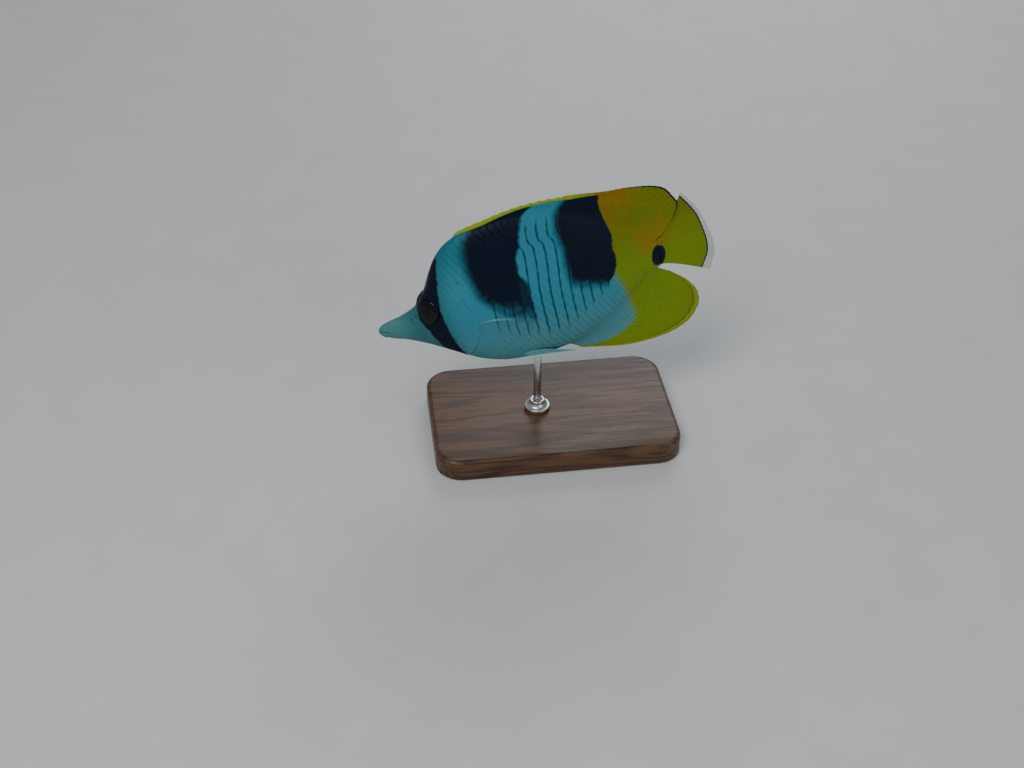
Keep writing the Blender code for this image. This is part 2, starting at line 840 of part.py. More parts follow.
def bend(obj):
    """Swings the tail towards the fish's right along an even arc."""
    start, end = BEND_START * STANDARD_LENGTH, BEND_END * STANDARD_LENGTH
    curvature = BEND_ANGLE / (end - start)
    for vert in obj.data.vertices:
        x, y, z = vert.co
        if x <= start:
            continue
        run = min(x, end) - start
        angle = curvature * run
        past = max(x - end, 0)
        centre_x = start + math.sin(angle) / curvature + past * math.cos(angle)
        centre_y = (1 - math.cos(angle)) / curvature + past * math.sin(angle)
        vert.co = (centre_x - y * math.sin(angle), centre_y + y * math.cos(angle), z)


def rounded_outline(length, width, corner, steps=6):
    """A rectangle with round corners, as points in the ground plane."""
    points = []
    for quarter, (sx, sy) in enumerate(((1, 1), (-1, 1), (-1, -1), (1, -1))):
        centre = (sx * (length / 2 - corner), sy * (width / 2 - corner))
        for step in range(steps + 1):
            angle = math.radians(90) * (quarter + step / steps)
            points.append((centre[0] + corner * math.cos(angle), centre[1] + corner * math.sin(angle)))
    return points


def stand(rod_x, belly):
    """Base, collar and rod, in the frame of the stand, with the base on z = 0."""
    edge = BASE_EDGE
    levels = [(edge * 0.4, 0.0), (0.0, edge * 0.4), (0.0, BASE_HEIGHT - edge)]
    for step in range(1, 4):
        angle = math.radians(30 * step)
        levels.append((edge * (1 - math.cos(angle)), BASE_HEIGHT - edge * (1 - math.sin(angle))))
    rings = []
    for inset, height in levels:
        outline = rounded_outline(BASE_LENGTH - 2 * inset, BASE_WIDTH - 2 * inset, BASE_CORNER - inset)
        rings.append([(x, y, height) for x, y in outline])
    base = loft("stand_base", rings, "dark_wood")
    socket_floor = BASE_HEIGHT - SOCKET_DEPTH
    socket = rod_between("socket", rod_x, ROD_RADIUS + GAP, socket_floor, 2 * BASE_HEIGHT)
    combine(base, [socket], "DIFFERENCE")
    rod = rod_between("stand_rod", rod_x, ROD_RADIUS, socket_floor + GAP, belly)
    dress(rod, "steel")
    foot = BASE_HEIGHT + GAP
    bore, chamfer = ROD_RADIUS + GAP, 0.0007
    profile = [
        (bore, foot),
        (COLLAR_RADIUS, foot),
        (COLLAR_RADIUS, foot + COLLAR_HEIGHT * 0.35),
        (COLLAR_RADIUS - chamfer, foot + COLLAR_HEIGHT * 0.5),
        (COLLAR_RADIUS * 0.62, foot + COLLAR_HEIGHT * 0.72),
        (COLLAR_RADIUS * 0.55, foot + COLLAR_HEIGHT),
        (bore, foot + COLLAR_HEIGHT),
    ]
    points, faces = [], []
    for side in range(ROD_SIDES):
        angle = 2 * math.pi * side / ROD_SIDES
        for step, (radius, height) in enumerate(profile):
            points.append((rod_x + radius * math.cos(angle), radius * math.sin(angle), height))
            ahead, after = (side + 1) % ROD_SIDES, (step + 1) % len(profile)
            here, there = side * len(profile), ahead * len(profile)
            faces.append((here + step, there + step, there + after, here + after))
    return [base, rod, solid("stand_collar", points, faces, "steel")]


def rod_between(name, x, radius, low, high):
    circle = [2 * math.pi * side / ROD_SIDES for side in range(ROD_SIDES)]
    rings = [[(x + radius * math.cos(a), radius * math.sin(a), z) for a in circle] for z in (low, high)]
    return loft(name, rings)


def in_world(station, height, lift=0.0, shift=0.0):
    """World x and z, in metres, of an unbent point of the middle plane."""
    x, z = station * STANDARD_LENGTH, height * STANDARD_LENGTH
    return (
        x * math.cos(PITCH) - z * math.sin(PITCH) + shift,
        x * math.sin(PITCH) + z * math.cos(PITCH) + lift,
    )


def main():
    for obj in list(bpy.data.objects):
        bpy.data.objects.remove(obj)
    fish = body_parts() + eyes() + fins()

    belly_x, belly_z = in_world(ROD_STATION, belly_height(ROD_STATION))
    lift = BASE_HEIGHT + CLEARANCE - belly_z
    for obj in fish:
        bend(obj)
        obj.data.shade_smooth()
        obj.data.set_sharp_from_angle(angle=math.radians(40))
    pose = bpy.data.objects.new("fish_pose", None)
    bpy.context.scene.collection.objects.link(pose)
    pose.rotation_euler = (0, -PITCH, 0)
    for obj in fish:
        obj.parent = pose
    pose.location = (0, 0, lift)
    bpy.context.view_layer.update()

    corners = np.array([obj.matrix_world @ v.co for obj in fish for v in obj.data.vertices])
    low, high = corners.min(axis=0), corners.max(axis=0)
    pose.location.x = -(low[0] + high[0]) / 2
    bpy.context.view_layer.update()
    rod_x = belly_x + pose.location.x

    hole_top = BASE_HEIGHT + CLEARANCE + ROD_IN_BELLY
    pieces = stand(rod_x, hole_top - GAP)
    for obj in pieces:
        obj.data.shade_smooth()
        obj.data.set_sharp_from_angle(angle=math.radians(30))
    hole = rod_between("hole", rod_x, ROD_RADIUS + GAP, 2 * BASE_HEIGHT, hole_top)
    trunk = bpy.data.objects["trunk"]
    combine(trunk, [hole], "DIFFERENCE")
    dress(trunk, "pale_skin")


main()
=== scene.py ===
"""Looks of the life-size butterflyfish model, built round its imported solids.

Metres, +Z up. The fish is shaped in its own straight frame first, in shares of the standard
length: x runs back from the snout's tip, y to the fish's right and z up its back. placed() then
bends the tail, pitches the fish and holds it over the stand, as the solids have it.
"""

import math

import bpy
import numpy as np
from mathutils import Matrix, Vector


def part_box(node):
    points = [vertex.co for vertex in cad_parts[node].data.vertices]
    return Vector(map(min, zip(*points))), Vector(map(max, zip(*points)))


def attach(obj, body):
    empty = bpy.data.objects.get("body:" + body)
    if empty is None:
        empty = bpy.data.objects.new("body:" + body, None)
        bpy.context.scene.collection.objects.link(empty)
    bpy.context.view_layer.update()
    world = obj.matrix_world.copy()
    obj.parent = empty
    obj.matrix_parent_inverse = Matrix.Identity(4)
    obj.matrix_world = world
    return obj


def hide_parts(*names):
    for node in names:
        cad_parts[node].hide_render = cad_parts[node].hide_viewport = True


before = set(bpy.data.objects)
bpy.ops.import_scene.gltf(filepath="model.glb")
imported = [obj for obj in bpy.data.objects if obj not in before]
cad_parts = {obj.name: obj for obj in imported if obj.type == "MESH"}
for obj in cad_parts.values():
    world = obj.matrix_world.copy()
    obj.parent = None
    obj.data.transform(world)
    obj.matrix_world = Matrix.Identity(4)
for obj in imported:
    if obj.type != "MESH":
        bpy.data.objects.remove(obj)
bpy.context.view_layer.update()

# Pose, as in the solids
STANDARD_LENGTH = 0.112
PITCH = math.radians(11.5)
BEND_START = 0.66
BEND_END = 1.08
BEND_ANGLE = math.radians(27)
ROD_STATION = 0.500
BASE_HEIGHT = 0.009
CLEARANCE = 0.027

# Body outline, as in the solids: (station, height) and (station, half width)
BACK = [
    (0.0, -0.001), (0.007, 0.008), (0.03, 0.019), (0.093, 0.036), (0.140, 0.060),
    (0.176, 0.103), (0.206, 0.160), (0.234, 0.209), (0.268, 0.250), (0.315, 0.281),
    (0.40, 0.304), (0.50, 0.312), (0.60, 0.302), (0.70, 0.266), (0.80, 0.200),
    (0.88, 0.126), (0.94, 0.070), (1.0, 0.050),
]
BELLY = [
    (0.0, -0.012), (0.007, -0.024), (0.03, -0.038), (0.093, -0.064), (0.156, -0.098),
    (0.20, -0.130), (0.251, -0.168), (0.305, -0.204), (0.372, -0.233), (0.45, -0.248),
    (0.55, -0.249), (0.64, -0.233), (0.74, -0.192), (0.84, -0.130), (0.92, -0.074), (1.0, -0.050),
]
HALF_WIDTH = [
    (0.0, 0.004), (0.007, 0.0125), (0.03, 0.020), (0.093, 0.035), (0.156, 0.055),
    (0.216, 0.070), (0.30, 0.082), (0.40, 0.086), (0.50, 0.081), (0.60, 0.071),
    (0.70, 0.058), (0.80, 0.043), (0.90, 0.027), (1.0, 0.0105),
]
WIDEST_SHARE = 0.46
BACK_POWER = 1.72
BELLY_POWER = 2.05

# Head, as in the solids
GILL_OPENING = [
    (-0.40, 0.238), (-0.20, 0.248), (-0.14, 0.292), (-0.07, 0.326), (0.0, 0.338),
    (0.07, 0.328), (0.14, 0.300), (0.21, 0.272), (0.27, 0.262), (0.42, 0.262),
]
COVER_EDGE = [
    (0.300, 0.102), (0.270, 0.097), (0.250, 0.078), (0.243, 0.044), (0.240, 0.0),
    (0.239, -0.044), (0.246, -0.084), (0.265, -0.114), (0.300, -0.128),
]
MOUTH_HEIGHT = -0.006
MOUTH_CORNER = 0.036
MOUTH_ARCH = 0.001
MOUTH_DROP = 0.006
LIP_RADIUS = 0.0068
LIP_SPREAD = 0.0072
EYE_STATION = 0.179
EYE_HEIGHT = 0.055
EYE_RADIUS = 0.0395
EYE_DEPTH = 0.023
EYE_BULGE = 0.0075
EYE_SIDES = 72
NOSTRILS = [(0.118, 0.026), (0.134, 0.036)]

# Relief of the head's skin. A rim, groove, pit, slit or crease is (height, distance from its line,
# width), and the mouth's slit (depth, width). A fold is (path, depth, width).
SOCKET_DEPTH = 0.017
SOCKET_WALL = (-0.004, 0.0015)  # where the eye's socket starts and ends, out from the eye's edge
EYE_RIM = (0.0026, 0.0034, 0.0034)
EYE_GROOVE = (-0.0010, 0.0125, 0.005)
NOSTRIL_PIT = (-0.0075, 0.0, 0.0034)
NOSTRIL_RIM = (0.0017, 0.0058, 0.0021)
GILL_RIM = (0.0015, -0.0075, 0.0085)
GILL_SLIT = (-0.0027, 0.0022, 0.0028)
GILL_ENDS = ((-0.24, -0.19), (0.14, 0.19))  # heights over which the opening starts and ends
COVER_RIM = (0.0006, 0.010, 0.007)
COVER_CREASE = (-0.0013, 0.0, 0.0045)
MOUTH_SLIT = (0.0052, 0.0017)
HEAD_FOLDS = [
    ([(0.040, -0.014), (0.052, -0.026), (0.066, -0.042), (0.080, -0.058)], 0.0013, 0.0022),
    ([(0.046, 0.004), (0.070, 0.002), (0.100, -0.006), (0.130, -0.010)], 0.0008, 0.0030),
    ([(0.118, -0.018), (0.138, -0.034), (0.170, -0.062), (0.205, -0.084)], 0.0006, 0.0070),
]
LIP_BLEND = 0.0024
LIP_STEPS = 8
LIP_LIMITS = (-0.002, 0.012)

# Fins: counts, places and lengths as in the solids, and margins that run along theirs
SPINE_COUNT = 12
DORSAL_FIRST = 0.312
DORSAL_SPINES_END = 0.635
SPINES_OVERLAP = 0.004
SPINE_MARGIN = [
    (0.328, 0.2955), (0.3486, 0.3020), (0.4176, 0.3155), (0.4866, 0.3290), (0.5546, 0.3375),
    (0.6203, 0.3385), (0.694, 0.3335),
]
DORSAL_RAY_COUNT = 24
DORSAL_LAST = 0.945
DORSAL_MARGIN = [
    (0.695, 0.3345), (0.760, 0.3225), (0.840, 0.304), (0.920, 0.285), (0.990, 0.260),
    (1.040, 0.226), (1.066, 0.183), (1.079, 0.150), (1.067, 0.125), (1.038, 0.093),
    (0.994, 0.065),
]
ANAL_SPINE_COUNT = 3
ANAL_RAY_COUNT = 20
ANAL_FIRST = 0.600
ANAL_LAST = 0.945
ANAL_MARGIN = [
    (0.655, -0.272), (0.700, -0.285), (0.770, -0.305), (0.850, -0.325), (0.930, -0.338),
    (1.010, -0.339), (1.074, -0.325), (1.112, -0.290), (1.114, -0.243), (1.084, -0.178),
    (1.018, -0.100),
]
TAIL_RAY_COUNT = 17
TAIL_ROOT_HEIGHT = 0.042
TAIL_FLARE = 1.15
TAIL_MARGIN = [
    (1.104, 0.176), (1.134, 0.130), (1.162, 0.080), (1.190, 0.004), (1.206, -0.060),
    (1.209, -0.120), (1.180, -0.182),
]
PECTORAL_RAY_COUNT = 15
PECTORAL_PLACE = (0.352, -0.036)
PECTORAL_SPREADS = (0.026, 0.125)
PECTORAL_LENGTH = 0.205
PECTORAL_DROOP = math.radians(17)
PECTORAL_FLARE = math.radians(13)
PELVIC_RAY_COUNT = 5
PELVIC_PLACE = (0.384, 0.021, -0.230)
PELVIC_SPREADS = (0.020, 0.050)
PELVIC_LENGTH = 0.250
PELVIC_DROOP = math.radians(4.6)
PELVIC_TOE_OUT = math.radians(3.2)
PELVIC_LEAN = math.radians(33)
PELVIC_DIVE = (0.012, 0.024)
ROOT_SINK = 0.022

# Fins, as drawn here. A fillet is the skin that runs up a fin's base: how thick it starts, in half
# widths of the body, and how far up it thins out
BACK_FILLET = (0.066, 0.0173)
BELLY_FILLET = (0.142, 0.0227)
TAIL_FILLET = (0.33, 0.030)
FILLET_START = -0.0155
# How far spines and rays stand out, where a soft ray forks, and how wide it is before and after
SPINE_RISE = 0.0030
RAY_RISE = 0.0013
FORK_LENGTH = 0.38
FORK_SPREADS = (0.155, 0.068)
SECOND_FORK = (0.30, 0.62)
RAY_WIDTHS = (0.115, 0.070)
SPINE_WIDTH = 0.20
# The paired fins' grid, half thicknesses at root and margin, rays, and the pectorals' curves
PAIRED_ROWS, PAIRED_PER_RAY = 44, 14
PAIRED_HALVES = (0.0042, 0.0010)
PAIRED_RISE = 0.0014
LEADING_RISE = 0.0022
PECTORAL_CAMBER = 0.006
PECTORAL_BOW = 0.011

# The skin's grid, its closed ends, and how far it lies inside the solids for scales to cover it
HEAD_STATIONS = 200
TRUNK_STATIONS = 170
HEAD_END = 0.30
SKIN_SIDES = 220
COAT_DEPTH = 0.0010
HEAD_CROWDING = 1.25  # above 1, the head's stations lie closer towards the snout
SECTION_STEPS = 1441
COAT_START = (0.02, 0.10)
CAP_RINGS = 9
CAP_LEAST = 0.02
CAP_BULGES = (-0.0022, 0.004)
RELIEF_END = 0.42
LIPS_END = 0.055
LEFT_SIDE = (150, 50)  # row and column of a point on the fish's left

# Scales: (station, length of body that one covers), and a blade's size in such steps
SCALE_STEPS = [
    (0.0, 0.0075), (0.10, 0.0095), (0.20, 0.0120), (0.28, 0.0160), (0.36, 0.0205),
    (0.60, 0.0212), (0.75, 0.0185), (0.85, 0.0155), (0.95, 0.0115), (1.05, 0.0090),
]
ROW_STRETCH = 1.12
BLADE_LENGTH = 2.15
BLADE_WIDTH = 1.62
BLADE_LIFT = 0.0004
# A blade's form, in lifts: at its root, its rise to the rear, its dome, its edge and its thickness
BLADE_ROOT = -0.50
BLADE_RISE = 1.20
BLADE_DOME = 0.25
BLADE_EDGE = 0.32
BLADE_DEPTH = 2.6
BLADE_CELLS = 6
HEAD_LIFT = 0.55  # how high scales stand at the head, as a share of the flank's
LIFT_STATIONS = (0.30, 0.50)
OVER_ROOT = 0.45  # how much of a scale lies before its place in the row
OWN_COLOUR = 0.10  # how far a scale's colour is its middle's
TURN_SPREAD = 0.03
SMALLEST, LARGEST = 0.95, 1.05
FADE_SINK = 0.0007  # how much lower a scale lies where the coat fades out
LEAST_SHARE = 0.08  # a scale that would stand lower than this share of its height is left out
SCALE_ROWS = 40
ROW_SEED = 5
HEAD_COAT_END = 0.29
EYE_CLEAR = 0.0045
NOSTRIL_CLEAR = 0.012
CREASE_CLEAR = 0.0025
SNOUT_CLEAR = 0.040
# Where the coat fades out: at the fins' bases, the stalk's end, the eye, the snout, before and
# behind the gill slit, and at the gill cover's crease, which is looked for along each scale
FIN_FADE = (0.002, 0.018)
STALK_FADE = (0.975, 1.01)
EYE_FADE = (0.006, 0.030)
SNOUT_FADE = (0.030, 0.090)
SLIT_FADES = ((-0.016, -0.001), (0.000, 0.014))
CREASE_FADE = (0.002, 0.009)
SLIT_CLEAR = (-0.002, 0.003)
SLIT_HEIGHTS = (-0.20, 0.15)
CREASE_PARTS = (0.3, 0.6, 0.85, 1.0)
COAT_SPAN = (0.03, 1.01)
COAT_OVERLAP = 0.004
# The small scales on the fins: where they start and end, and their length and width in steps
SHEATH_START = (0.010, 0.026)
SHEATH_END = (0.66, 1.06)
SHEATH_BLADE = (2.1, 1.7)
SHEATH_STEP = 0.0110
TAIL_SHEATH_STEP = 0.0090
PATCH = 0.003  # a scale's width on the map that finishes are baked through
MAP_EDGE = 0.02

# Camera: where it looks, and from how far and which way
CAMERA_TARGET = (-0.01566, 0.0, 0.0218)
CAMERA_DISTANCE = 0.557
CAMERA_AZIMUTH = math.radians(-7.5)
CAMERA_RISE = math.radians(37.5)


def unit(vector):
    vector = np.array(vector, float)
    return vector / np.linalg.norm(vector)


def smooth_curve(knots):
    """A function that runs smoothly through (position, value) knots."""
    places, values = np.array(knots, float).T
    slopes = np.gradient(values, places)

    def value(place):
        index = np.clip(np.searchsorted(places, place) - 1, 0, len(places) - 2)
        span = places[index + 1] - places[index]
        t = np.clip((place - places[index]) / span, 0, 1)
        near = (1 + 2 * t) * (1 - t) ** 2 * values[index] + t * (1 - t) ** 2 * span * slopes[index]
        far = t**2 * (3 - 2 * t) * values[index + 1] - t**2 * (1 - t) * span * slopes[index + 1]
        return near + far

    return value


def smooth_path(points, count):
    """That many points, evenly spaced by knot length, on a smooth path through a few points."""
    points = np.array(points, float)
    steps = np.linalg.norm(np.diff(points, axis=0), axis=1)
    along = np.concatenate([[0], np.cumsum(steps)])
    curves = [smooth_curve(list(zip(along, axis))) for axis in points.T]
    at = np.linspace(0, along[-1], count)
    return np.stack([curve(at) for curve in curves], axis=1)


def smooth_step(value, low, high):
    t = np.clip((value - low) / (high - low), 0, 1)
    return t * t * (3 - 2 * t)


def hump(value, width):
    return np.exp(-((value / width) ** 2))


back_height = smooth_curve(BACK)
belly_height = smooth_curve(BELLY)
half_width = smooth_curve(HALF_WIDTH)
gill_station = smooth_curve(GILL_OPENING)


def side_at(station, height):
    """Half width of the body at a station and height."""
    top, bottom, width = back_height(station), belly_height(station), half_width(station)
    middle = bottom + WIDEST_SHARE * (top - bottom)
    above = height > middle
    reach = (height - middle) / (top - middle) if above else (middle - height) / (middle - bottom)
    power = BACK_POWER if above else BELLY_POWER
    return width * (1 - min(reach, 1) ** power) ** (1 / power)


def fish_shift():
    """World x and z of the fish frame's origin, found from the rod that holds it."""
    x, z = ROD_STATION * STANDARD_LENGTH, belly_height(ROD_STATION) * STANDARD_LENGTH
    low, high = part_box("stand_rod")
    across = (low.x + high.x) / 2 - (x * math.cos(PITCH) - z * math.sin(PITCH))
    lift = BASE_HEIGHT + CLEARANCE - (x * math.sin(PITCH) + z * math.cos(PITCH))
    return across, lift


def placed(points):
    """World places, in metres, of points in the straight fish frame."""
    x, y, z = (np.asarray(points, float) * STANDARD_LENGTH).reshape(-1, 3).T
    start, end = BEND_START * STANDARD_LENGTH, BEND_END * STANDARD_LENGTH
    curvature = BEND_ANGLE / (end - start)
    angle = curvature * (np.clip(x, start, end) - start)
    past = np.maximum(x - end, 0)
    before = np.minimum(x, start)
    bent_x = before + np.sin(angle) / curvature + past * np.cos(angle) - y * np.sin(angle)
    bent_y = (1 - np.cos(angle)) / curvature + past * np.sin(angle) + y * np.cos(angle)
    across, lift = SHIFT
    return np.stack(
        [
            bent_x * math.cos(PITCH) - z * math.sin(PITCH) + across,
            bent_y,
            bent_x * math.sin(PITCH) + z * math.cos(PITCH) + lift,
        ],
        axis=1,
    )


SHIFT = fish_shift()


# Meshes


def in_scene(name, data):
    """A new object in the scene."""
    obj = bpy.data.objects.new(name, data)
    bpy.context.scene.collection.objects.link(obj)
    return obj


def smooth_mesh(name, points, faces):
    mesh = bpy.data.meshes.new(name)
    mesh.from_pydata(points.tolist(), [], [list(map(int, face)) for face in faces])
    mesh.polygons.foreach_set("use_smooth", np.ones(len(mesh.polygons), bool))
    return mesh


def corners_of(mesh):
    """The vertex at each face corner of a mesh."""
    corners = np.empty(len(mesh.loops), np.int32)
    mesh.loops.foreach_get("vertex_index", corners)
    return corners


def mesh_object(name, points, faces, maps, material):
    """A smooth mesh object from fish frame points. maps holds (u, v) per vertex or per corner."""
    mesh = smooth_mesh(name, placed(points), faces)
    corners = corners_of(mesh)
    for title, values in maps.items():
        values = np.asarray(values, np.float32)
        if len(values) == len(mesh.vertices):
            values = values[corners]
        mesh.uv_layers.new(name=title).data.foreach_set("uv", values.ravel())
    mesh.update()
    mesh.materials.append(material)
    return in_scene(name, mesh)


def finish_piece(obj, replaced=()):
    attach(obj, "root")
    if replaced:
        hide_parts(*replaced)


def grid_faces(rows, columns, closed=False, offset=0, flip=False):
    """Quads of a grid of points that runs row by row, joined round its columns if closed."""
    row, column = np.meshgrid(np.arange(rows - 1), np.arange(columns - (not closed)), indexing="ij")
    after = (column + 1) % columns
    quads = [row * columns + column, row * columns + after]
    quads += [(row + 1) * columns + after, (row + 1) * columns + column]
    quads = np.stack(quads, axis=-1).reshape(-1, 4) + offset
    return quads[:, ::-1] if flip else quads


def grid_normals(points, closed):
    """Unit normals of a grid of points."""
    down = np.gradient(points, axis=0)
    if closed:
        across = np.roll(points, -1, axis=1) - np.roll(points, 1, axis=1)
    else:
        across = np.gradient(points, axis=1)
    normals = np.cross(down, across)
    return normals / np.maximum(np.linalg.norm(normals, axis=-1, keepdims=True), 1e-12)


def inside_map(share):
    """A share as a place on a baking map, a little inside the map's edges."""
    return MAP_EDGE + (1 - 2 * MAP_EDGE) * share


def sample(grid, row, column, closed):
    """Values of a grid at fractional rows and columns."""
    rows, columns = grid.shape[:2]
    row = np.clip(row, 0, rows - 1.001)
    low_row = row.astype(int)
    part_row = (row - low_row)[:, None]
    if closed:
        column = np.mod(column, columns)
    else:
        column = np.clip(column, 0, columns - 1.001)
    low_column = column.astype(int)
    part_column = (column - low_column)[:, None]
    next_column = (low_column + 1) % columns
    near = grid[low_row, low_column] * (1 - part_column) + grid[low_row, next_column] * part_column
    far = grid[low_row + 1, low_column] * (1 - part_column)
    far += grid[low_row + 1, next_column] * part_column
    return near * (1 - part_row) + far * part_row


# Skin


def section(station, inset):
    """A closed section of the body at even steps of girth: belly, left side, back, right side."""
    top = back_height(station) - inset
    bottom = belly_height(station) + inset
    width = half_width(station) - inset
    middle = bottom + WIDEST_SHARE * (top - bottom)
    turn = 2 * np.pi * np.linspace(0, 1, SECTION_STEPS)
    across, up = -np.sin(turn), -np.cos(turn)
    power = np.where(up >= 0, BACK_POWER, BELLY_POWER)
    y = width * np.sign(across) * np.abs(across) ** (2 / power)
    reach = np.where(up >= 0, top - middle, middle - bottom)
    z = middle + reach * np.sign(up) * np.abs(up) ** (2 / power)
    girth = np.concatenate([[0], np.cumsum(np.hypot(np.diff(y), np.diff(z)))])
    even = np.linspace(0, girth[-1], SKIN_SIDES, endpoint=False)
    ring = np.stack([np.full(SKIN_SIDES, station), np.interp(even, girth, y)], axis=1)
    ring = np.column_stack([ring, np.interp(even, girth, z)])
    widest = girth[np.argmin(np.abs(turn - np.arccos(0)))] / girth[-1]
    return ring, girth[-1], widest


def eye_frame(side):
    """Where the eye's axis leaves the skin, and its outward, forward and upward directions."""
    step = 0.01

    def change(along, up):
        ahead = side_at(EYE_STATION + along, EYE_HEIGHT + up)
        return (ahead - side_at(EYE_STATION - along, EYE_HEIGHT - up)) / (2 * step)

    outward = unit((-change(step, 0), side, -change(0, step)))
    upward = unit(np.array((0, 0, 1.0)) - outward[2] * outward)
    forward = np.cross(upward, outward) * -side
    centre = np.array([EYE_STATION, side * side_at(EYE_STATION, EYE_HEIGHT), EYE_HEIGHT])
    return centre, outward, forward, upward


def distance_to_path(points, path):
    """Distance from each (station, height) to the nearest point of a fine path."""
    gaps = points[:, None, :] - path[None, :, :]
    return np.sqrt((gaps**2).sum(axis=-1)).min(axis=1)


def lip_points(height):
    """Points and radii of a lip, from one corner of the mouth round the snout to the other."""
    foremost = LIP_RADIUS * 0.9
    turns = np.linspace(-math.pi / 2, math.pi / 2, 121)
    stations = MOUTH_CORNER - (MOUTH_CORNER - foremost) * np.cos(turns) ** 0.8
    sides = np.array([side_at(station, height) for station in stations])
    radii = LIP_RADIUS * (0.55 + 0.45 * np.cos(turns))
    centres = np.stack([stations, 0.97 * sides * np.sin(turns), np.full(len(turns), height)], axis=1)
    return centres, radii


def lips_rise(points, normals):
    """How far the snout's skin is pushed out by the two lips."""
    rise = np.zeros(len(points))
    lips = [lip_points(MOUTH_HEIGHT + LIP_SPREAD), lip_points(MOUTH_HEIGHT - LIP_SPREAD)]
    for _ in range(LIP_STEPS):
        at = points + normals * rise[:, None]
        for centres, radii in lips:
            gaps = np.sqrt(((at[:, None, :] - centres[None]) ** 2).sum(axis=-1)) - radii
            outside = gaps.min(axis=1)
            mix = np.clip(0.5 + 0.5 * (rise - outside) / LIP_BLEND, 0, 1)
            field = rise * (1 - mix) + outside * mix - LIP_BLEND * mix * (1 - mix)
            rise = rise - 0.8 * field
            at = points + normals * rise[:, None]
    return np.clip(rise, *LIP_LIMITS)


def ridge(distance, height, at, width):
    """A soft ridge at a distance from a line, or a groove where the height is below 0."""
    return height * hump(distance - at, width)


def head_relief(points):
    """How far each point of the head's skin stands out or sinks, in fish frame units."""
    x, y, z = points.T
    relief = np.zeros(len(points))
    for side in (-1, 1):
        centre, _, forward, upward = eye_frame(side)
        gap = points - centre
        beyond = np.hypot(gap @ forward, gap @ upward) - EYE_RADIUS
        eye = -SOCKET_DEPTH * (1 - smooth_step(beyond, *SOCKET_WALL))
        eye += ridge(beyond, *EYE_RIM) + ridge(beyond, *EYE_GROOVE)
        relief += np.where(np.sign(y) == side, eye, 0)
        for station, height in NOSTRILS:
            pit = np.array([station, side * side_at(station, height), height])
            away = np.linalg.norm(points - pit, axis=1)
            relief += ridge(away, *NOSTRIL_PIT) + ridge(away, *NOSTRIL_RIM)
    slope = (gill_station(z + 0.004) - gill_station(z - 0.004)) / 0.008
    behind = (x - gill_station(z)) / np.sqrt(1 + slope**2)
    open_part = smooth_step(z, *GILL_ENDS[0]) * (1 - smooth_step(z, *GILL_ENDS[1]))
    relief += (ridge(behind, *GILL_RIM) + ridge(behind, *GILL_SLIT)) * open_part
    flat = points[:, ::2]
    cover = distance_to_path(flat, smooth_path(COVER_EDGE, 160))
    relief += ridge(cover, *COVER_RIM) + ridge(cover, *COVER_CREASE)
    for path, depth, width in HEAD_FOLDS:
        relief -= depth * hump(distance_to_path(flat, smooth_path(path, 100)), width)
    slit_height = np.interp(
        x,
        [-0.02, MOUTH_CORNER * 0.5, MOUTH_CORNER],
        [MOUTH_HEIGHT, MOUTH_HEIGHT + MOUTH_ARCH, MOUTH_HEIGHT - MOUTH_DROP],
    )
    reach = 1 - smooth_step(x, MOUTH_CORNER - 0.002, MOUTH_CORNER + 0.004)
    depth, width = MOUTH_SLIT
    return relief - depth * hump(z - slit_height, width) * reach


def skin_normals(grid):
    """Outward normals of the skin, as a point on its left shows which way they have to run."""
    normals = grid_normals(grid, True)
    return -normals if normals[LEFT_SIDE][1] > 0 else normals


def skin_grid():
    """Points of the whole skin as a grid of stations by girth, with what maps onto it needs."""
    near = HEAD_END * np.linspace(0, 1, HEAD_STATIONS, endpoint=False) ** HEAD_CROWDING
    stations = np.concatenate([near, np.linspace(HEAD_END, 1.0, TRUNK_STATIONS)])
    rings, girths, widest = [], [], []
    for station in stations:
        inset = COAT_DEPTH * smooth_step(station, *COAT_START)
        ring, girth, share = section(station, inset)
        rings.append(ring)
        girths.append(girth)
        widest.append(share)
    rings = np.array(rings)
    cap_turns = np.radians(np.linspace(90, 0, CAP_RINGS)[:-1])
    front, rear = rings[0], rings[-1]
    caps = []
    ends = zip((front, rear), CAP_BULGES, (cap_turns, cap_turns[::-1]))
    for ring, bulge, turns in ends:
        middle = ring.mean(axis=0)
        shrunk = [middle + (ring - middle) * max(math.cos(turn), CAP_LEAST) for turn in turns]
        caps.append([r + (bulge * math.sin(turn), 0, 0) for r, turn in zip(shrunk, turns)])
    rings = np.concatenate([caps[0], rings, caps[1]])
    flat, flat_normals = rings.reshape(-1, 3), skin_normals(rings).reshape(-1, 3)
    head = np.flatnonzero(flat[:, 0] < RELIEF_END)
    flat[head] += flat_normals[head] * head_relief(flat[head])[:, None]
    snout = np.flatnonzero(flat[:, 0] < LIPS_END)
    flat[snout] += flat_normals[snout] * lips_rise(flat[snout], flat_normals[snout])[:, None]
    rings = flat.reshape(rings.shape)
    return rings, stations, np.array(girths), np.array(widest), len(cap_turns)


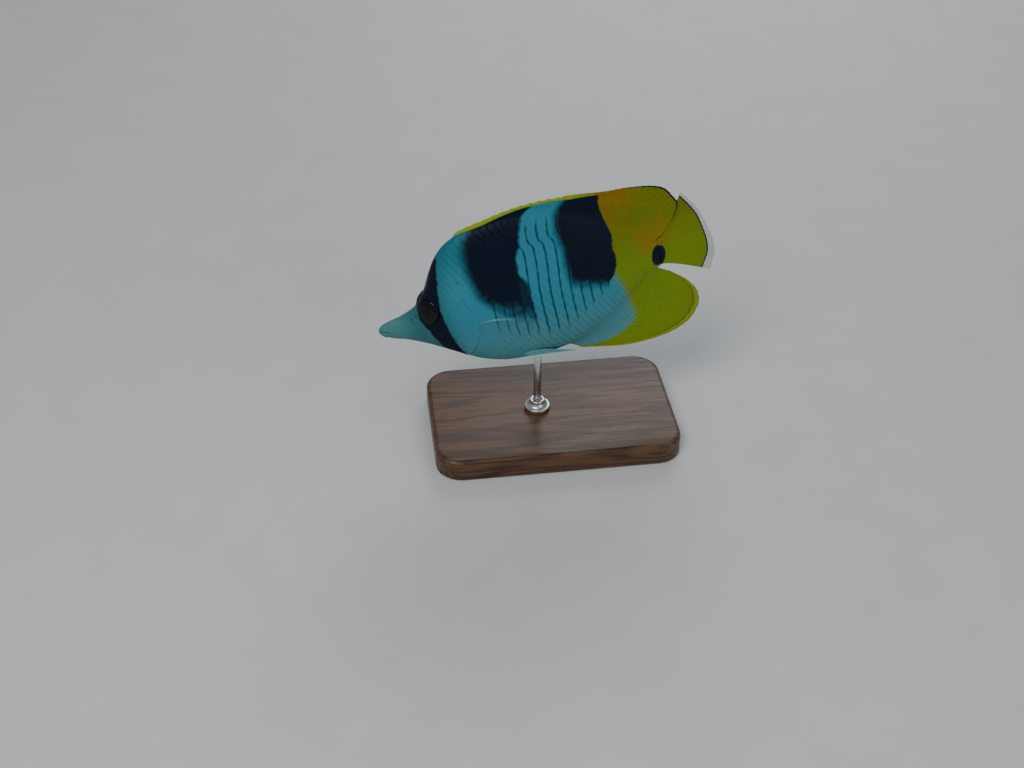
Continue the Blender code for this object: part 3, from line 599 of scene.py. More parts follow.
def skin_body(grid, material):
    """The skin as one closed mesh, with an unwrap of its own."""
    rows, columns = grid.shape[:2]
    faces = grid_faces(rows, columns, closed=True, flip=True).tolist()
    faces.append(list(range(columns)))
    faces.append(list(range(rows * columns - 1, (rows - 1) * columns - 1, -1)))
    steps = np.linalg.norm(np.diff(grid[:, columns // 4], axis=0), axis=1)
    along = np.concatenate([[0], np.cumsum(steps)])
    along = 0.01 + 0.98 * along / along[-1]
    row = np.repeat(np.arange(rows), columns)
    corner_maps = []
    for face in faces:
        if len(face) > 4:
            corner_maps += [(0.002, 0.002)] * len(face)
            continue
        column = [corner % columns for corner in face]
        wraps = max(column) - min(column) > 1
        for corner, at in zip(face, column):
            share = (columns if wraps and at == 0 else at) / columns
            corner_maps.append((along[row[corner]], 0.01 + 0.98 * share))
    flat = grid.reshape(-1, 3)
    maps = {"OFBake": corner_maps, "FishPlace": flat[:, ::2]}
    return mesh_object("skin", flat, faces, maps, material)


# Scales


def scale_blade():
    """One scale as a small closed solid of unit length and width, its free edge at +x."""
    count = BLADE_CELLS + 1
    a, b = np.meshgrid(np.linspace(-1, 1, count), np.linspace(-1, 1, count), indexing="ij")
    along = a * np.sqrt(1 - b**2 / 2)
    across = b * np.sqrt(1 - a**2 / 2)
    rear = (along + 1) / 2
    outward = np.maximum(np.abs(a), np.abs(b))
    height = BLADE_ROOT + BLADE_RISE * rear + BLADE_DOME * (1 - across**2) - BLADE_EDGE * outward**5
    width = np.where(along > 0, 1 - 0.10 * along, 1 - 0.16 * along**2)
    top = np.stack([(along + 1) / 2, across / 2 * width, height], axis=-1).reshape(-1, 3)
    rim = [(i, 0) for i in range(count)] + [(count - 1, j) for j in range(1, count)]
    rim += [(i, count - 1) for i in range(count - 2, -1, -1)] + [(0, j) for j in range(count - 2, 0, -1)]
    rim = [i * count + j for i, j in rim]
    under = top[rim] - (0, 0, BLADE_DEPTH)
    faces = grid_faces(count, count, flip=False).tolist()
    total = count * count
    for k, here in enumerate(rim):
        there = (k + 1) % len(rim)
        faces.append([here, rim[there], total + there, total + k][::-1])
    faces.append([total + k for k in range(len(rim))])
    mesh = smooth_mesh("scale_blade", np.vstack([top, under]), faces)
    place = np.vstack([top[:, :2], under[:, :2]]) + (0, 0.5)
    mesh.uv_layers.new(name="ScalePlace").data.foreach_set("uv", place[corners_of(mesh)].ravel())
    return in_scene("scale_blade", mesh)


def coat_tree():
    """Geometry nodes that set one blade on each point, as the point's size and turn say."""
    tree = bpy.data.node_groups.new("scale_coat", "GeometryNodeTree")
    for title, kind in (
        ("Geometry", "Geometry"), ("Blade", "Object"), ("Smallest", "Float"), ("Largest", "Float"),
        ("Seed", "Int"), ("Finish", "Material"),
    ):
        tree.interface.new_socket(title, in_out="INPUT", socket_type="NodeSocket" + kind)
    tree.interface.new_socket("Geometry", in_out="OUTPUT", socket_type="NodeSocketGeometry")
    nodes, link = tree.nodes, tree.links.new
    given = nodes.new("NodeGroupInput")
    blade = nodes.new("GeometryNodeObjectInfo")
    link(given.outputs["Blade"], blade.inputs["Object"])
    named = []
    for title in ("size", "turn"):
        node = nodes.new("GeometryNodeInputNamedAttribute")
        node.data_type = "FLOAT_VECTOR"
        node.inputs["Name"].default_value = title
        named.append(node.outputs["Attribute"])
    vary = nodes.new("FunctionNodeRandomValue")
    vary.data_type = "FLOAT"
    link(given.outputs["Smallest"], vary.inputs[2])
    link(given.outputs["Largest"], vary.inputs[3])
    link(given.outputs["Seed"], vary.inputs["Seed"])
    size = nodes.new("ShaderNodeVectorMath")
    size.operation = "SCALE"
    link(named[0], size.inputs[0])
    link(vary.outputs[1], size.inputs["Scale"])
    turn = nodes.new("FunctionNodeEulerToRotation")
    link(named[1], turn.inputs[0])
    spread = nodes.new("GeometryNodeInstanceOnPoints")
    link(given.outputs["Geometry"], spread.inputs["Points"])
    link(blade.outputs["Geometry"], spread.inputs["Instance"])
    link(turn.outputs[0], spread.inputs["Rotation"])
    link(size.outputs[0], spread.inputs["Scale"])
    whole = nodes.new("GeometryNodeRealizeInstances")
    link(spread.outputs[0], whole.inputs[0])
    dress = nodes.new("GeometryNodeSetMaterial")
    link(whole.outputs[0], dress.inputs["Geometry"])
    link(given.outputs["Finish"], dress.inputs["Material"])
    out = nodes.new("NodeGroupOutput")
    link(dress.outputs[0], out.inputs[0])
    return tree


def lay_coat(name, roots, surface, bake_place, material, seed):
    """A coat of scales: laid out flat on its roots by geometry nodes, then wrapped on a surface.

    A root is (along, across, length, width, turn, height share), surface gives places and normals
    for flat (along, across), and bake_place gives where a root lies on that surface's unwrap.
    """
    roots = np.array(roots)
    roots = roots[roots[:, 5] > LEAST_SHARE]
    mesh = bpy.data.meshes.new(name)
    flat = np.column_stack([roots[:, :2], np.zeros(len(roots))])
    mesh.from_pydata(flat.tolist(), [], [])
    full = smooth_step(roots[:, 0], *LIFT_STATIONS)
    lift = BLADE_LIFT * (HEAD_LIFT + (1 - HEAD_LIFT) * full)
    size = np.column_stack([roots[:, 2:4], lift])
    turn = np.column_stack([np.zeros((len(roots), 2)), roots[:, 4]])
    for title, values in (("size", size), ("turn", turn)):
        layer = mesh.attributes.new(title, "FLOAT_VECTOR", "POINT")
        layer.data.foreach_set("vector", values.astype(np.float32).ravel())
    pattern = in_scene(name + "_pattern", mesh)
    modifier = pattern.modifiers.new("coat", "NODES")
    modifier.node_group = COAT_TREE
    given = {"Blade": BLADE, "Smallest": SMALLEST, "Largest": LARGEST, "Seed": seed, "Finish": material}
    for socket in COAT_TREE.interface.items_tree:
        if socket.in_out == "INPUT" and socket.name in given:
            modifier[socket.identifier] = given[socket.name]
    bpy.context.view_layer.update()
    graph = bpy.context.evaluated_depsgraph_get()
    coat = bpy.data.meshes.new_from_object(pattern.evaluated_get(graph))
    bpy.data.objects.remove(pattern)
    points = np.empty(len(coat.vertices) * 3)
    coat.vertices.foreach_get("co", points)
    points = points.reshape(-1, 3)
    owner = np.arange(len(points)) // len(BLADE.data.vertices)
    places, normals = surface(points[:, 0], points[:, 1])
    middle = roots[:, :2].copy()
    middle[:, 0] += roots[:, 2] * 0.5
    middles = surface(middle[:, 0], middle[:, 1])[0]
    painted = (1 - OWN_COLOUR) * places[:, ::2] + OWN_COLOUR * middles[owner][:, ::2]
    sink = FADE_SINK * (1 - roots[:, 5])
    final = placed(places + normals * (points[:, 2:3] - sink[owner][:, None]))
    coat.vertices.foreach_set("co", final.astype(np.float32).ravel())
    corners = corners_of(coat)
    own = np.empty(len(corners) * 2)
    coat.uv_layers["ScalePlace"].data.foreach_get("uv", own)
    baked = bake_place(roots)[owner[corners]] + (own.reshape(-1, 2) - 0.5) * PATCH
    for title, values in (("OFBake", baked), ("FishPlace", painted[corners])):
        coat.uv_layers.new(name=title).data.foreach_set("uv", values.astype(np.float32).ravel())
    coat.update()
    coat.name = name
    finish_piece(in_scene(name, coat))


def scale_places(first, last, high, low):
    """Roots of staggered rows of scales between two stations, for flat heights from low to high."""
    stations = np.linspace(0, 1.1, 2201)
    steps = smooth_curve(SCALE_STEPS)(stations)
    index = np.concatenate([[0], np.cumsum(np.diff(stations) / steps[:-1])])
    roots = []
    random = np.random.default_rng(ROW_SEED)
    for row in range(-SCALE_ROWS, SCALE_ROWS + 1):
        counts = np.arange(0, index[-1]) + (0.5 if row % 2 else 0)
        at = np.interp(counts, index, stations)
        for station in at[(at > first) & (at < last)]:
            step = np.interp(station, stations, steps)
            slope = row * ROW_STRETCH * (np.interp(station + 0.01, stations, steps) - step) / 0.01
            height = row * ROW_STRETCH * step
            if low(station) < height < high(station):
                turn = math.atan(slope) + random.normal(0, TURN_SPREAD)
                length, width = BLADE_LENGTH * step, BLADE_WIDTH * step * ROW_STRETCH
                share = 1.0
                if station > DORSAL_FIRST:
                    share *= smooth_step(high(station) - height, *FIN_FADE)
                if station > ANAL_FIRST - 0.02:
                    share *= smooth_step(height - low(station), *FIN_FADE)
                share *= 1 - smooth_step(station, *STALK_FADE)
                roots.append((station - length * OVER_ROOT, height, length, width, turn, share))
    return np.array(roots)


def clear_places(roots, surface, side):
    """Keeps the roots whose scale stays off the eye, the nostrils, the lips and the gill slit."""
    centre, _, forward, upward = eye_frame(side)
    middle = surface(roots[:, 0] + roots[:, 2] * 0.6, roots[:, 1])[0]
    gap = middle - centre
    radius = np.hypot(gap @ forward, gap @ upward)
    keep = radius > EYE_RADIUS + EYE_CLEAR + roots[:, 2] * 0.25
    for station, height in NOSTRILS:
        keep &= np.hypot(middle[:, 0] - station, middle[:, 2] - height) > NOSTRIL_CLEAR
    keep &= middle[:, 0] > SNOUT_CLEAR
    behind = middle[:, 0] - gill_station(middle[:, 2])
    end = behind + 0.4 * roots[:, 2]
    by_slit = (middle[:, 2] > SLIT_HEIGHTS[0]) & (middle[:, 2] < SLIT_HEIGHTS[1])
    start = behind - 0.6 * roots[:, 2]
    keep &= ~(by_slit & (end > SLIT_CLEAR[0]) & (start < SLIT_CLEAR[1]))
    before, after = SLIT_FADES
    at_slit = np.maximum(1 - smooth_step(end, *before), smooth_step(start, *after))
    roots[:, 5] *= np.where(by_slit, at_slit, 1)
    crease = smooth_path(COVER_EDGE, 160)
    spots = [surface(roots[:, 0] + roots[:, 2] * part, roots[:, 1])[0] for part in CREASE_PARTS]
    near = np.min([distance_to_path(spot[:, ::2], crease) for spot in spots], axis=0)
    keep &= near > CREASE_CLEAR
    roots[:, 5] *= smooth_step(near, *CREASE_FADE)
    roots[:, 5] *= smooth_step(radius - EYE_RADIUS, *EYE_FADE)
    roots[:, 5] *= smooth_step(middle[:, 0], *SNOUT_FADE)
    return roots[keep]


def body_coats(grid, stations, girths, widest, cap, material):
    """The coats of both sides of the body, and of the head."""
    normals = skin_normals(grid)
    columns = grid.shape[1]
    for side, word in ((-1, "left"), (1, "right")):

        def place_on_grid(along, across):
            row = cap + np.interp(along, stations, np.arange(len(stations)))
            share = np.interp(along, stations, widest) + across / np.interp(along, stations, girths)
            return row, columns * (share if side < 0 else 1 - share)

        def surface(along, across):
            row, column = place_on_grid(along, across)
            return sample(grid, row, column, True), sample(normals, row, column, True)

        def bake_place(roots):
            row, column = place_on_grid(roots[:, 0] + roots[:, 2] * 0.5, roots[:, 1])
            along = np.clip((row - cap) / len(stations), 0, 1)
            return inside_map(np.column_stack([along, np.mod(column / columns, 1)]))

        def high(station):
            share = np.interp(station, stations, widest)
            return (0.5 - share) * np.interp(station, stations, girths) + COAT_OVERLAP

        def low(station):
            share = np.interp(station, stations, widest)
            return -share * np.interp(station, stations, girths) - COAT_OVERLAP

        roots = clear_places(scale_places(*COAT_SPAN, high, low), surface, side)
        at = roots[:, 0] + roots[:, 2] * OVER_ROOT
        head, body = roots[at < HEAD_COAT_END], roots[at >= HEAD_COAT_END]
        lay_coat("scales_head_" + word, head, surface, bake_place, material, 11)
        lay_coat("scales_body_" + word, body, surface, bake_place, material, 12)


# Fins


def outline_reader(points):
    """A function from shares along a smooth outline to its (station, height)."""
    path = smooth_path(points, 200)
    steps = np.concatenate([[0], np.cumsum(np.linalg.norm(np.diff(path, axis=0), axis=1))])
    steps /= steps[-1]
    return lambda share: np.stack([np.interp(share, steps, axis) for axis in path.T], axis=-1)


def ray_ridges(shares, depths, rays, spines, fork=FORK_LENGTH):
    """From 0 to 1, how much of a ray's ridge there is at each depth and share of a fin.

    A soft ray forks twice on its way to the margin, and a spine tapers to its point.
    """
    depth, share = np.meshgrid(depths, shares, indexing="ij")
    part = np.mod(share * rays, 1) - 0.5
    part = np.where(share >= 1, 0.5, part)
    is_spine = share < spines / rays
    once = FORK_SPREADS[0] * smooth_step(depth, fork, fork + FORK_LENGTH)
    twice = FORK_SPREADS[1] * smooth_step(depth, fork + SECOND_FORK[0], fork + SECOND_FORK[1])
    width = RAY_WIDTHS[0] - RAY_WIDTHS[1] * smooth_step(depth, fork - 0.1, fork + 0.5)
    ridge = np.zeros_like(part)
    for first in (-1, 1):
        for second in (-1, 1):
            ridge = np.maximum(ridge, hump(part - first * once - second * twice, width))
    spine = hump(part, SPINE_WIDTH * (1 - 0.6 * depth))
    return np.where(is_spine, spine, ridge), is_spine


def fin_sheet(name, centres, halves, across, shares, depths, material):
    """A fin as one closed sheet over a grid of centre points."""
    rows, columns = halves.shape
    near = centres - across * halves[..., None]
    far = centres + across * halves[..., None]
    points = np.concatenate([near.reshape(-1, 3), far.reshape(-1, 3)])
    total = rows * columns
    faces = grid_faces(rows, columns).tolist() + grid_faces(rows, columns, False, total, True).tolist()
    rim = list(range(columns))
    rim += [row * columns + columns - 1 for row in range(1, rows)]
    rim += [(rows - 1) * columns + column for column in range(columns - 2, -1, -1)]
    rim += [row * columns for row in range(rows - 2, 0, -1)]
    for here, there in zip(rim, rim[1:] + rim[:1]):
        faces.append([there, here, here + total, there + total])
    depth, share = np.meshgrid(depths, shares, indexing="ij")
    place = np.stack([share, depth], axis=-1).reshape(-1, 2)
    maps = {"FinPlace": np.vstack([place, place]), "FishPlace": points[:, ::2]}
    return mesh_object(name, points, faces, maps, material)


def root_line(first, last, edge, sink):
    """A fin's root at a depth inside the back or belly, as a function of the share along it."""

    def root(share):
        station = first + share * (last - first)
        return np.stack([station, edge(station) + sink], axis=-1)

    return root


def tail_root(share):
    station = np.full_like(share, 1.0 - ROOT_SINK)
    return np.stack([station, TAIL_ROOT_HEIGHT * (1 - 2 * share)], axis=-1)


def median_fin(
    name, root, margin, rays, material, replaced, fillet, spines=0, rows=46, per_ray=16, scallop=0.007,
    flare=1.0, halves=(0.0070, 0.0011), wave=0.0, lean=0.0, bare=(0.30, 0.62),
):
    """A fin in the fish's middle plane, from a root line inside the body to its margin.

    halves are the web's half thicknesses at root and margin, and bare says at which depths the
    rays come out of the scaly base. Gives the fin's two sides without its rays, and their depths.
    """
    shares = np.linspace(0, 1, rays * per_ray + 1)
    depths = np.linspace(0, 1, rows) ** 0.9
    start = root(shares)
    reach = outline_reader(margin)(shares) - start
    part = np.abs(np.mod(shares * rays, 1) - 0.5) * 2
    cut = 1 - scallop * part ** (1.2 if spines else 2.5)
    depth = depths[:, None] * cut[None]
    station = start[:, 0] + reach[:, 0] * depth
    height = start[:, 1] + reach[:, 1] * depth**flare
    side = wave * np.sin(shares * rays * 0.9)[None] * depths[:, None] ** 2
    side = side - lean * shares[None] ** 2 * depths[:, None] ** 2
    centres = np.stack([station, side, height], axis=-1)
    ridges, is_spine = ray_ridges(shares, depths, rays, spines)
    web = halves[0] + (halves[1] - halves[0]) * depths[:, None] ** 0.6
    web = web * (1 - 0.45 * smooth_step(depths, 0.97, 1.0)[:, None])
    swell, fade = fillet
    beyond = np.maximum(depth * np.linalg.norm(reach, axis=1) - ROOT_SINK, FILLET_START)
    web = web + swell * half_width(start[:, 0]) * np.exp(-beyond / fade)
    rise = np.where(is_spine, SPINE_RISE, RAY_RISE) * (1 - 0.62 * depths[:, None])
    rise = rise * smooth_step(depths, *bare)[:, None]
    across = np.array([0, 1.0, 0])
    fin = fin_sheet(name, centres, web + rise * ridges, across, shares, depths, material)
    finish_piece(fin, [replaced])
    under = across * (web + 0.6 * rise)[..., None]
    return centres - under, centres + under, depths


def sheath(name, sides, length, reach, cover, material, seed, step=SHEATH_STEP, lay=math.radians(50)):
    """Small scales over the base of a fin, on both of its sides.

    length and reach are the fin's rough sizes along the root and out from it, and cover gives
    the depth share that scales reach for a share along the fin. lay turns them to the rear.
    """
    near, far, depths = sides
    rows, columns = near.shape[:2]
    for side, grid in ((-1, near), (1, far)):
        normals = grid_normals(grid, False)
        if normals[rows // 2, columns // 2, 1] * side < 0:
            normals = -normals

        def surface(out, along):
            row = np.interp(out / reach, depths, np.arange(rows))
            column = np.clip(along / length, 0, 1) * (columns - 1)
            return sample(grid, row, column, False), sample(normals, row, column, False)

        def bake_place(roots):
            out = np.clip(roots[:, 0] / reach, 0, 1)
            return inside_map(np.column_stack([roots[:, 1] / length, out]))

        roots = []
        for row in range(int(reach / step)):
            out = (row + 0.3) * step
            count = int(length / (step * 1.05))
            shares = (np.arange(count) + (0.75 if row % 2 else 0.25)) / count
            for share in shares[out / reach < cover(shares)]:
                lift = smooth_step(out, *SHEATH_START)
                lift *= 1 - smooth_step(out / reach / cover(share), *SHEATH_END)
                long, wide = SHEATH_BLADE
                roots.append((out, share * length, step * long, step * wide, lay, lift))
        word = "left" if side < 0 else "right"
        lay_coat(f"{name}_{word}", roots, surface, bake_place, material, seed)


def paired_fin(origin, along, upward, length, spreads, rays, shape, pivot=0.0, spines=0, dive=(0, 0, 0)):
    """Grid of a paired fin as a fan of rays, as wide at root and margin as spreads says."""
    spread_way = unit(upward - along * np.dot(upward, along))
    shares = np.linspace(0, 1, rays * PAIRED_PER_RAY + 1)
    depths = np.linspace(0, 1, PAIRED_ROWS)
    depth, share = np.meshgrid(depths, shares, indexing="ij")
    part = np.abs(np.mod(share * rays, 1) - 0.5) * 2
    reach = (length + ROOT_SINK) * shape(share) * depth * (1 - 0.015 * part**2.5)
    fan = (spreads[0] * (1 - depth) + spreads[1] * depth) * (share - pivot)
    centres = origin - along * ROOT_SINK + along * reach[..., None] + spread_way * fan[..., None]
    centres += np.array(dive) * ((1 - depth * 4).clip(0, 1) ** 2)[..., None]
    ridges, _ = ray_ridges(shares, depths, rays, spines, fork=0.46)
    root_half, margin_half = PAIRED_HALVES
    halves = root_half + (margin_half - root_half) * depth**0.5
    halves += PAIRED_RISE * (1 - 0.6 * depth) * ridges
    if spines:
        halves += LEADING_RISE * (1 - 0.6 * depth) * hump(share * rays - 0.4, 0.45)
    return centres, halves, unit(np.cross(along, spread_way)), spread_way, shares, depths


def pectoral_fin(side, word, material):
    station, height = PECTORAL_PLACE
    level = math.cos(PECTORAL_DROOP)
    along = (level * math.cos(PECTORAL_FLARE), side * math.sin(PECTORAL_FLARE), -math.sin(PECTORAL_DROOP))
    centres, halves, across, spread_way, shares, depths = paired_fin(
        np.array([station, side * side_at(station, height), height]),
        unit(along),
        np.array((math.sin(PECTORAL_DROOP), 0, level)),
        PECTORAL_LENGTH,
        PECTORAL_SPREADS,
        PECTORAL_RAY_COUNT,
        lambda share: 0.58 + 0.42 * np.sin(math.pi * (0.12 + 0.62 * share)),
        pivot=0.5,
    )
    centres += across * (PECTORAL_CAMBER * side * np.sin(np.pi * depths)[:, None, None])
    bow = np.sin(np.pi * depths**0.55)[:, None] * shares[None]
    centres += spread_way * (PECTORAL_BOW * bow)[..., None]
    fin = fin_sheet("pectoral_rays_" + word, centres, halves, across, shares, depths, material)
    face_outwards(fin)
    finish_piece(fin, ["pectoral_fin_" + word])


def pelvic_fin(side, word, material):
    station, out, height = PELVIC_PLACE
    inward, up = PELVIC_DIVE
    centres, halves, across, _, shares, depths = paired_fin(
        np.array([station, side * out, height]),
        unit((math.cos(PELVIC_DROOP), side * math.sin(PELVIC_TOE_OUT), -math.sin(PELVIC_DROOP))),
        np.array((0, side * math.sin(PELVIC_LEAN), math.cos(PELVIC_LEAN))),
        PELVIC_LENGTH,
        PELVIC_SPREADS,
        1 + PELVIC_RAY_COUNT,
        lambda share: 1 - 0.42 * share,
        spines=1,
        dive=(0, -side * inward, up),
    )
    fin = fin_sheet("pelvic_rays_" + word, centres, halves, across, shares, depths, material)
    face_outwards(fin)
    finish_piece(fin, ["pelvic_fin_" + word])


def face_outwards(obj):
    """Turns a closed mesh's faces outwards if its volume is negative."""
    mesh = obj.data
    mesh.calc_loop_triangles()
    points = np.empty(len(mesh.vertices) * 3)
    mesh.vertices.foreach_get("co", points)
    corners = np.empty(len(mesh.loop_triangles) * 3, np.int32)
    mesh.loop_triangles.foreach_get("vertices", corners)
    a, b, c = points.reshape(-1, 3)[corners.reshape(-1, 3)].transpose(1, 0, 2)
    if np.einsum("ij,ij->i", a, np.cross(b, c)).sum() < 0:
        mesh.flip_normals()


# Eyes


def eyeball(side, word, material):
    """The eye with a domed front, its iris and pupil painted on it."""
    centre, outward, forward, upward = eye_frame(side)
    sides = EYE_SIDES
    rear, front = np.radians(np.linspace(6, 90, 12)), np.radians(np.linspace(6, 88, 22))
    profile = [(EYE_RADIUS * math.sin(turn), -EYE_DEPTH * math.cos(turn)) for turn in rear]
    profile += [(EYE_RADIUS * math.cos(turn), EYE_BULGE * math.sin(turn)) for turn in front]
    profile = np.array(profile)
    turns = 2 * np.pi * np.arange(sides) / sides
    spoke = np.cos(turns)[:, None] * forward + np.sin(turns)[:, None] * upward
    points = centre + outward * profile[:, 1, None, None] + spoke[None] * profile[:, 0, None, None]
    rows = len(profile)
    faces = grid_faces(rows, sides, closed=True).tolist()
    faces.append(list(range(sides))[::-1])
    faces.append([(rows - 1) * sides + k for k in range(sides)])
    radius = np.where(profile[:, 1] >= 0, profile[:, 0] / EYE_RADIUS, 1.0).repeat(sides)
    around = np.tile(turns, rows)
    place = 0.5 + 0.5 * np.stack([radius * np.cos(around), radius * np.sin(around)], axis=1)
    obj = mesh_object("eyeball_" + word, points.reshape(-1, 3), faces, {"EyePlace": place}, material)
    face_outwards(obj)
    finish_piece(obj, ["eye_" + word])


# Node helpers


class Weave:
    """Adds nodes to a tree. Sockets or plain numbers may be given wherever a value goes."""

    def __init__(self, tree):
        self.tree = tree
        tree.nodes.clear()

    def add(self, kind, **settings):
        node = self.tree.nodes.new(kind)
        for title, value in settings.items():
            setattr(node, title, value)
        return node

    def put(self, socket, value):
        if isinstance(value, bpy.types.NodeSocket):
            self.tree.links.new(value, socket)
        elif value is not None:
            socket.default_value = value
        return socket

    def math(self, operation, first, second=None, third=None):
        node = self.add("ShaderNodeMath", operation=operation)
        for socket, value in zip(node.inputs, (first, second, third)):
            self.put(socket, value)
        return node.outputs[0]

    def plus(self, first, second):
        return self.math("ADD", first, second)

    def minus(self, first, second):
        return self.math("SUBTRACT", first, second)

    def times(self, first, second):
        return self.math("MULTIPLY", first, second)

    def larger(self, first, second):
        return self.math("MAXIMUM", first, second)

    def rest(self, share):
        """What a share leaves of 1."""
        return self.math("SUBTRACT", 1.0, share)

    def gap(self, first, second):
        return self.math("ABSOLUTE", self.minus(first, second))

    def length(self, x, y):
        return self.math("SQRT", self.plus(self.times(x, x), self.times(y, y)))

    def distance(self, place, spot):
        node = self.add("ShaderNodeVectorMath", operation="DISTANCE")
        self.put(node.inputs[0], place)
        node.inputs[1].default_value = spot
        return node.outputs["Value"]

    def rise(self, value, low, high, start=0.0, end=1.0):
        """Smoothly from start to end as value goes from low to high."""
        node = self.add("ShaderNodeMapRange", interpolation_type="SMOOTHSTEP")
        for title, given in (
            ("Value", value), ("From Min", low), ("From Max", high), ("To Min", start), ("To Max", end)
        ):
            self.put(node.inputs[title], given)
        return node.outputs["Result"]

    def fall(self, value, low, high):
        return self.rise(value, low, high, 1.0, 0.0)

    def mix(self, share, first, second):
        """A colour from first to second."""
        node = self.add("ShaderNodeMix", data_type="RGBA")
        self.put(node.inputs["Factor"], share)
        for socket, value in ((node.inputs[6], first), (node.inputs[7], second)):
            self.put(socket, (*value, 1) if isinstance(value, tuple) else value)
        return node.outputs[2]

    def curve(self, value, knots, value_span, knot_span):
        """A value read off a smooth curve through a few knots, inside two given spans."""
        low, high = knot_span
        share = self.math("DIVIDE", self.minus(value, low), high - low)
        node = self.add("ShaderNodeFloatCurve")
        self.put(node.inputs["Value"], share)
        line = node.mapping.curves[0]
        bottom, top = value_span
        spots = [((at - low) / (high - low), (to - bottom) / (top - bottom)) for at, to in sorted(knots)]
        while len(line.points) < len(spots):
            line.points.new(0.5, 0.5)
        for point, spot in zip(line.points, spots):
            point.location = spot
            point.handle_type = "AUTO"
        node.mapping.update()
        return self.plus(self.times(node.outputs[0], top - bottom), bottom)

    def noise(self, vector, scale, detail=2.0, roughness=0.5):
        node = self.add("ShaderNodeTexNoise")
        self.put(node.inputs["Vector"], vector)
        node.inputs["Scale"].default_value = scale
        node.inputs["Detail"].default_value = detail
        node.inputs["Roughness"].default_value = roughness
        return node.outputs["Fac"]

    def split(self, vector):
        node = self.add("ShaderNodeSeparateXYZ")
        self.put(node.inputs[0], vector)
        return node.outputs

    def join(self, x, y, z=0.0):
        node = self.add("ShaderNodeCombineXYZ")
        for socket, value in zip(node.inputs, (x, y, z)):
            self.put(socket, value)
        return node.outputs[0]

    def here(self):
        """The place on the piece, in metres."""
        return self.add("ShaderNodeTexCoord").outputs["Object"]

    def stretched(self, vector, scale, turn=0.0):
        node = self.add("ShaderNodeMapping")
        self.put(node.inputs["Vector"], vector)
        node.inputs["Scale"].default_value = scale
        node.inputs["Rotation"].default_value = (0.0, 0.0, turn)
        return node.outputs[0]

    def map(self, title):
        return self.add("ShaderNodeUVMap", uv_map=title).outputs[0]

    def bump(self, height, strength, distance):
        node = self.add("ShaderNodeBump")
        self.put(node.inputs["Height"], height)
        node.inputs["Strength"].default_value = strength
        node.inputs["Distance"].default_value = distance
        return node.outputs[0]

    def use(self, group, **given):
        node = self.add("ShaderNodeGroup", node_tree=group)
        for title, value in given.items():
            self.put(node.inputs[title.replace("_", " ")], value)
        return node.outputs


def group_tree(name, inputs, outputs):
    """A shader group with its sockets, its Weave, and its input and output nodes."""
    tree = bpy.data.node_groups.new(name, "ShaderNodeTree")
    weave = Weave(tree)
    for title, kind, value in inputs:
        socket = tree.interface.new_socket(title, in_out="INPUT", socket_type="NodeSocket" + kind)
        if value is not None:
            socket.default_value = value
    for title, kind in outputs:
        tree.interface.new_socket(title, in_out="OUTPUT", socket_type="NodeSocket" + kind)
    given = weave.add("NodeGroupInput").outputs
    out = weave.add("NodeGroupOutput").inputs
    return tree, weave, given, out


# Markings: edges as (height, station), all in shares of the standard length, with how soft they are
HEIGHTS = (-0.40, 0.40)
STATIONS = (0.0, 1.3)
BAND_FRONT = [
    (-0.26, 0.262), (-0.16, 0.222), (-0.081, 0.190), (-0.041, 0.176), (0.0, 0.160), (0.031, 0.146),
    (0.060, 0.146), (0.096, 0.172), (0.149, 0.202), (0.185, 0.217), (0.22, 0.231), (0.30, 0.270),
]
BAND_REAR = [
    (-0.26, 0.300), (-0.16, 0.266), (-0.113, 0.251), (-0.058, 0.238), (-0.02, 0.232), (0.023, 0.226),
    (0.062, 0.222), (0.112, 0.226), (0.160, 0.235), (0.203, 0.244), (0.225, 0.250), (0.30, 0.262),
]
FIRST_FRONT = [
    (-0.05, 0.46), (0.0, 0.410), (0.044, 0.376), (0.073, 0.356), (0.128, 0.342), (0.172, 0.333),
    (0.212, 0.333), (0.254, 0.338), (0.280, 0.352), (0.299, 0.378), (0.33, 0.43),
]
FIRST_REAR = [
    (-0.05, 0.524), (0.00, 0.522), (0.046, 0.521), (0.097, 0.517), (0.122, 0.501), (0.150, 0.498),
    (0.184, 0.500), (0.202, 0.509), (0.214, 0.517), (0.245, 0.524), (0.279, 0.536), (0.303, 0.550),
    (0.318, 0.570), (0.34, 0.61),
]
SECOND_FRONT = [
    (0.0, 0.662), (0.068, 0.655), (0.129, 0.652), (0.165, 0.653), (0.201, 0.648), (0.229, 0.644),
    (0.265, 0.648), (0.291, 0.660), (0.308, 0.678), (0.33, 0.71),
]
SECOND_REAR = [
    (0.0, 0.788), (0.014, 0.799), (0.030, 0.808), (0.047, 0.814), (0.074, 0.817), (0.105, 0.814),
    (0.151, 0.820), (0.186, 0.815), (0.227, 0.806), (0.268, 0.800), (0.299, 0.807), (0.33, 0.80),
]
YELLOW_FRONT = [
    (-0.34, 0.62), (-0.285, 0.67), (-0.269, 0.73), (-0.255, 0.795), (-0.231, 0.838), (-0.204, 0.853),
    (-0.156, 0.847), (-0.094, 0.832), (-0.029, 0.815), (0.015, 0.797), (0.05, 0.785), (0.33, 0.78),
]
STRIP_BOTTOM = [
    (0.25, 0.30), (0.31, 0.288), (0.346, 0.2950), (0.415, 0.3040), (0.484, 0.3190), (0.552, 0.3280),
    (0.617, 0.3290), (0.683, 0.3240), (0.714, 0.3165), (0.747, 0.3130), (0.805, 0.3030), (0.90, 0.28),
]
LINE_ENDS = [
    (0.30, 0.0), (0.37, -0.06), (0.42, -0.105), (0.50, -0.150), (0.60, -0.158), (0.65, -0.140),
    (0.70, -0.105), (0.75, -0.070), (0.80, -0.035), (0.90, 0.0),
]
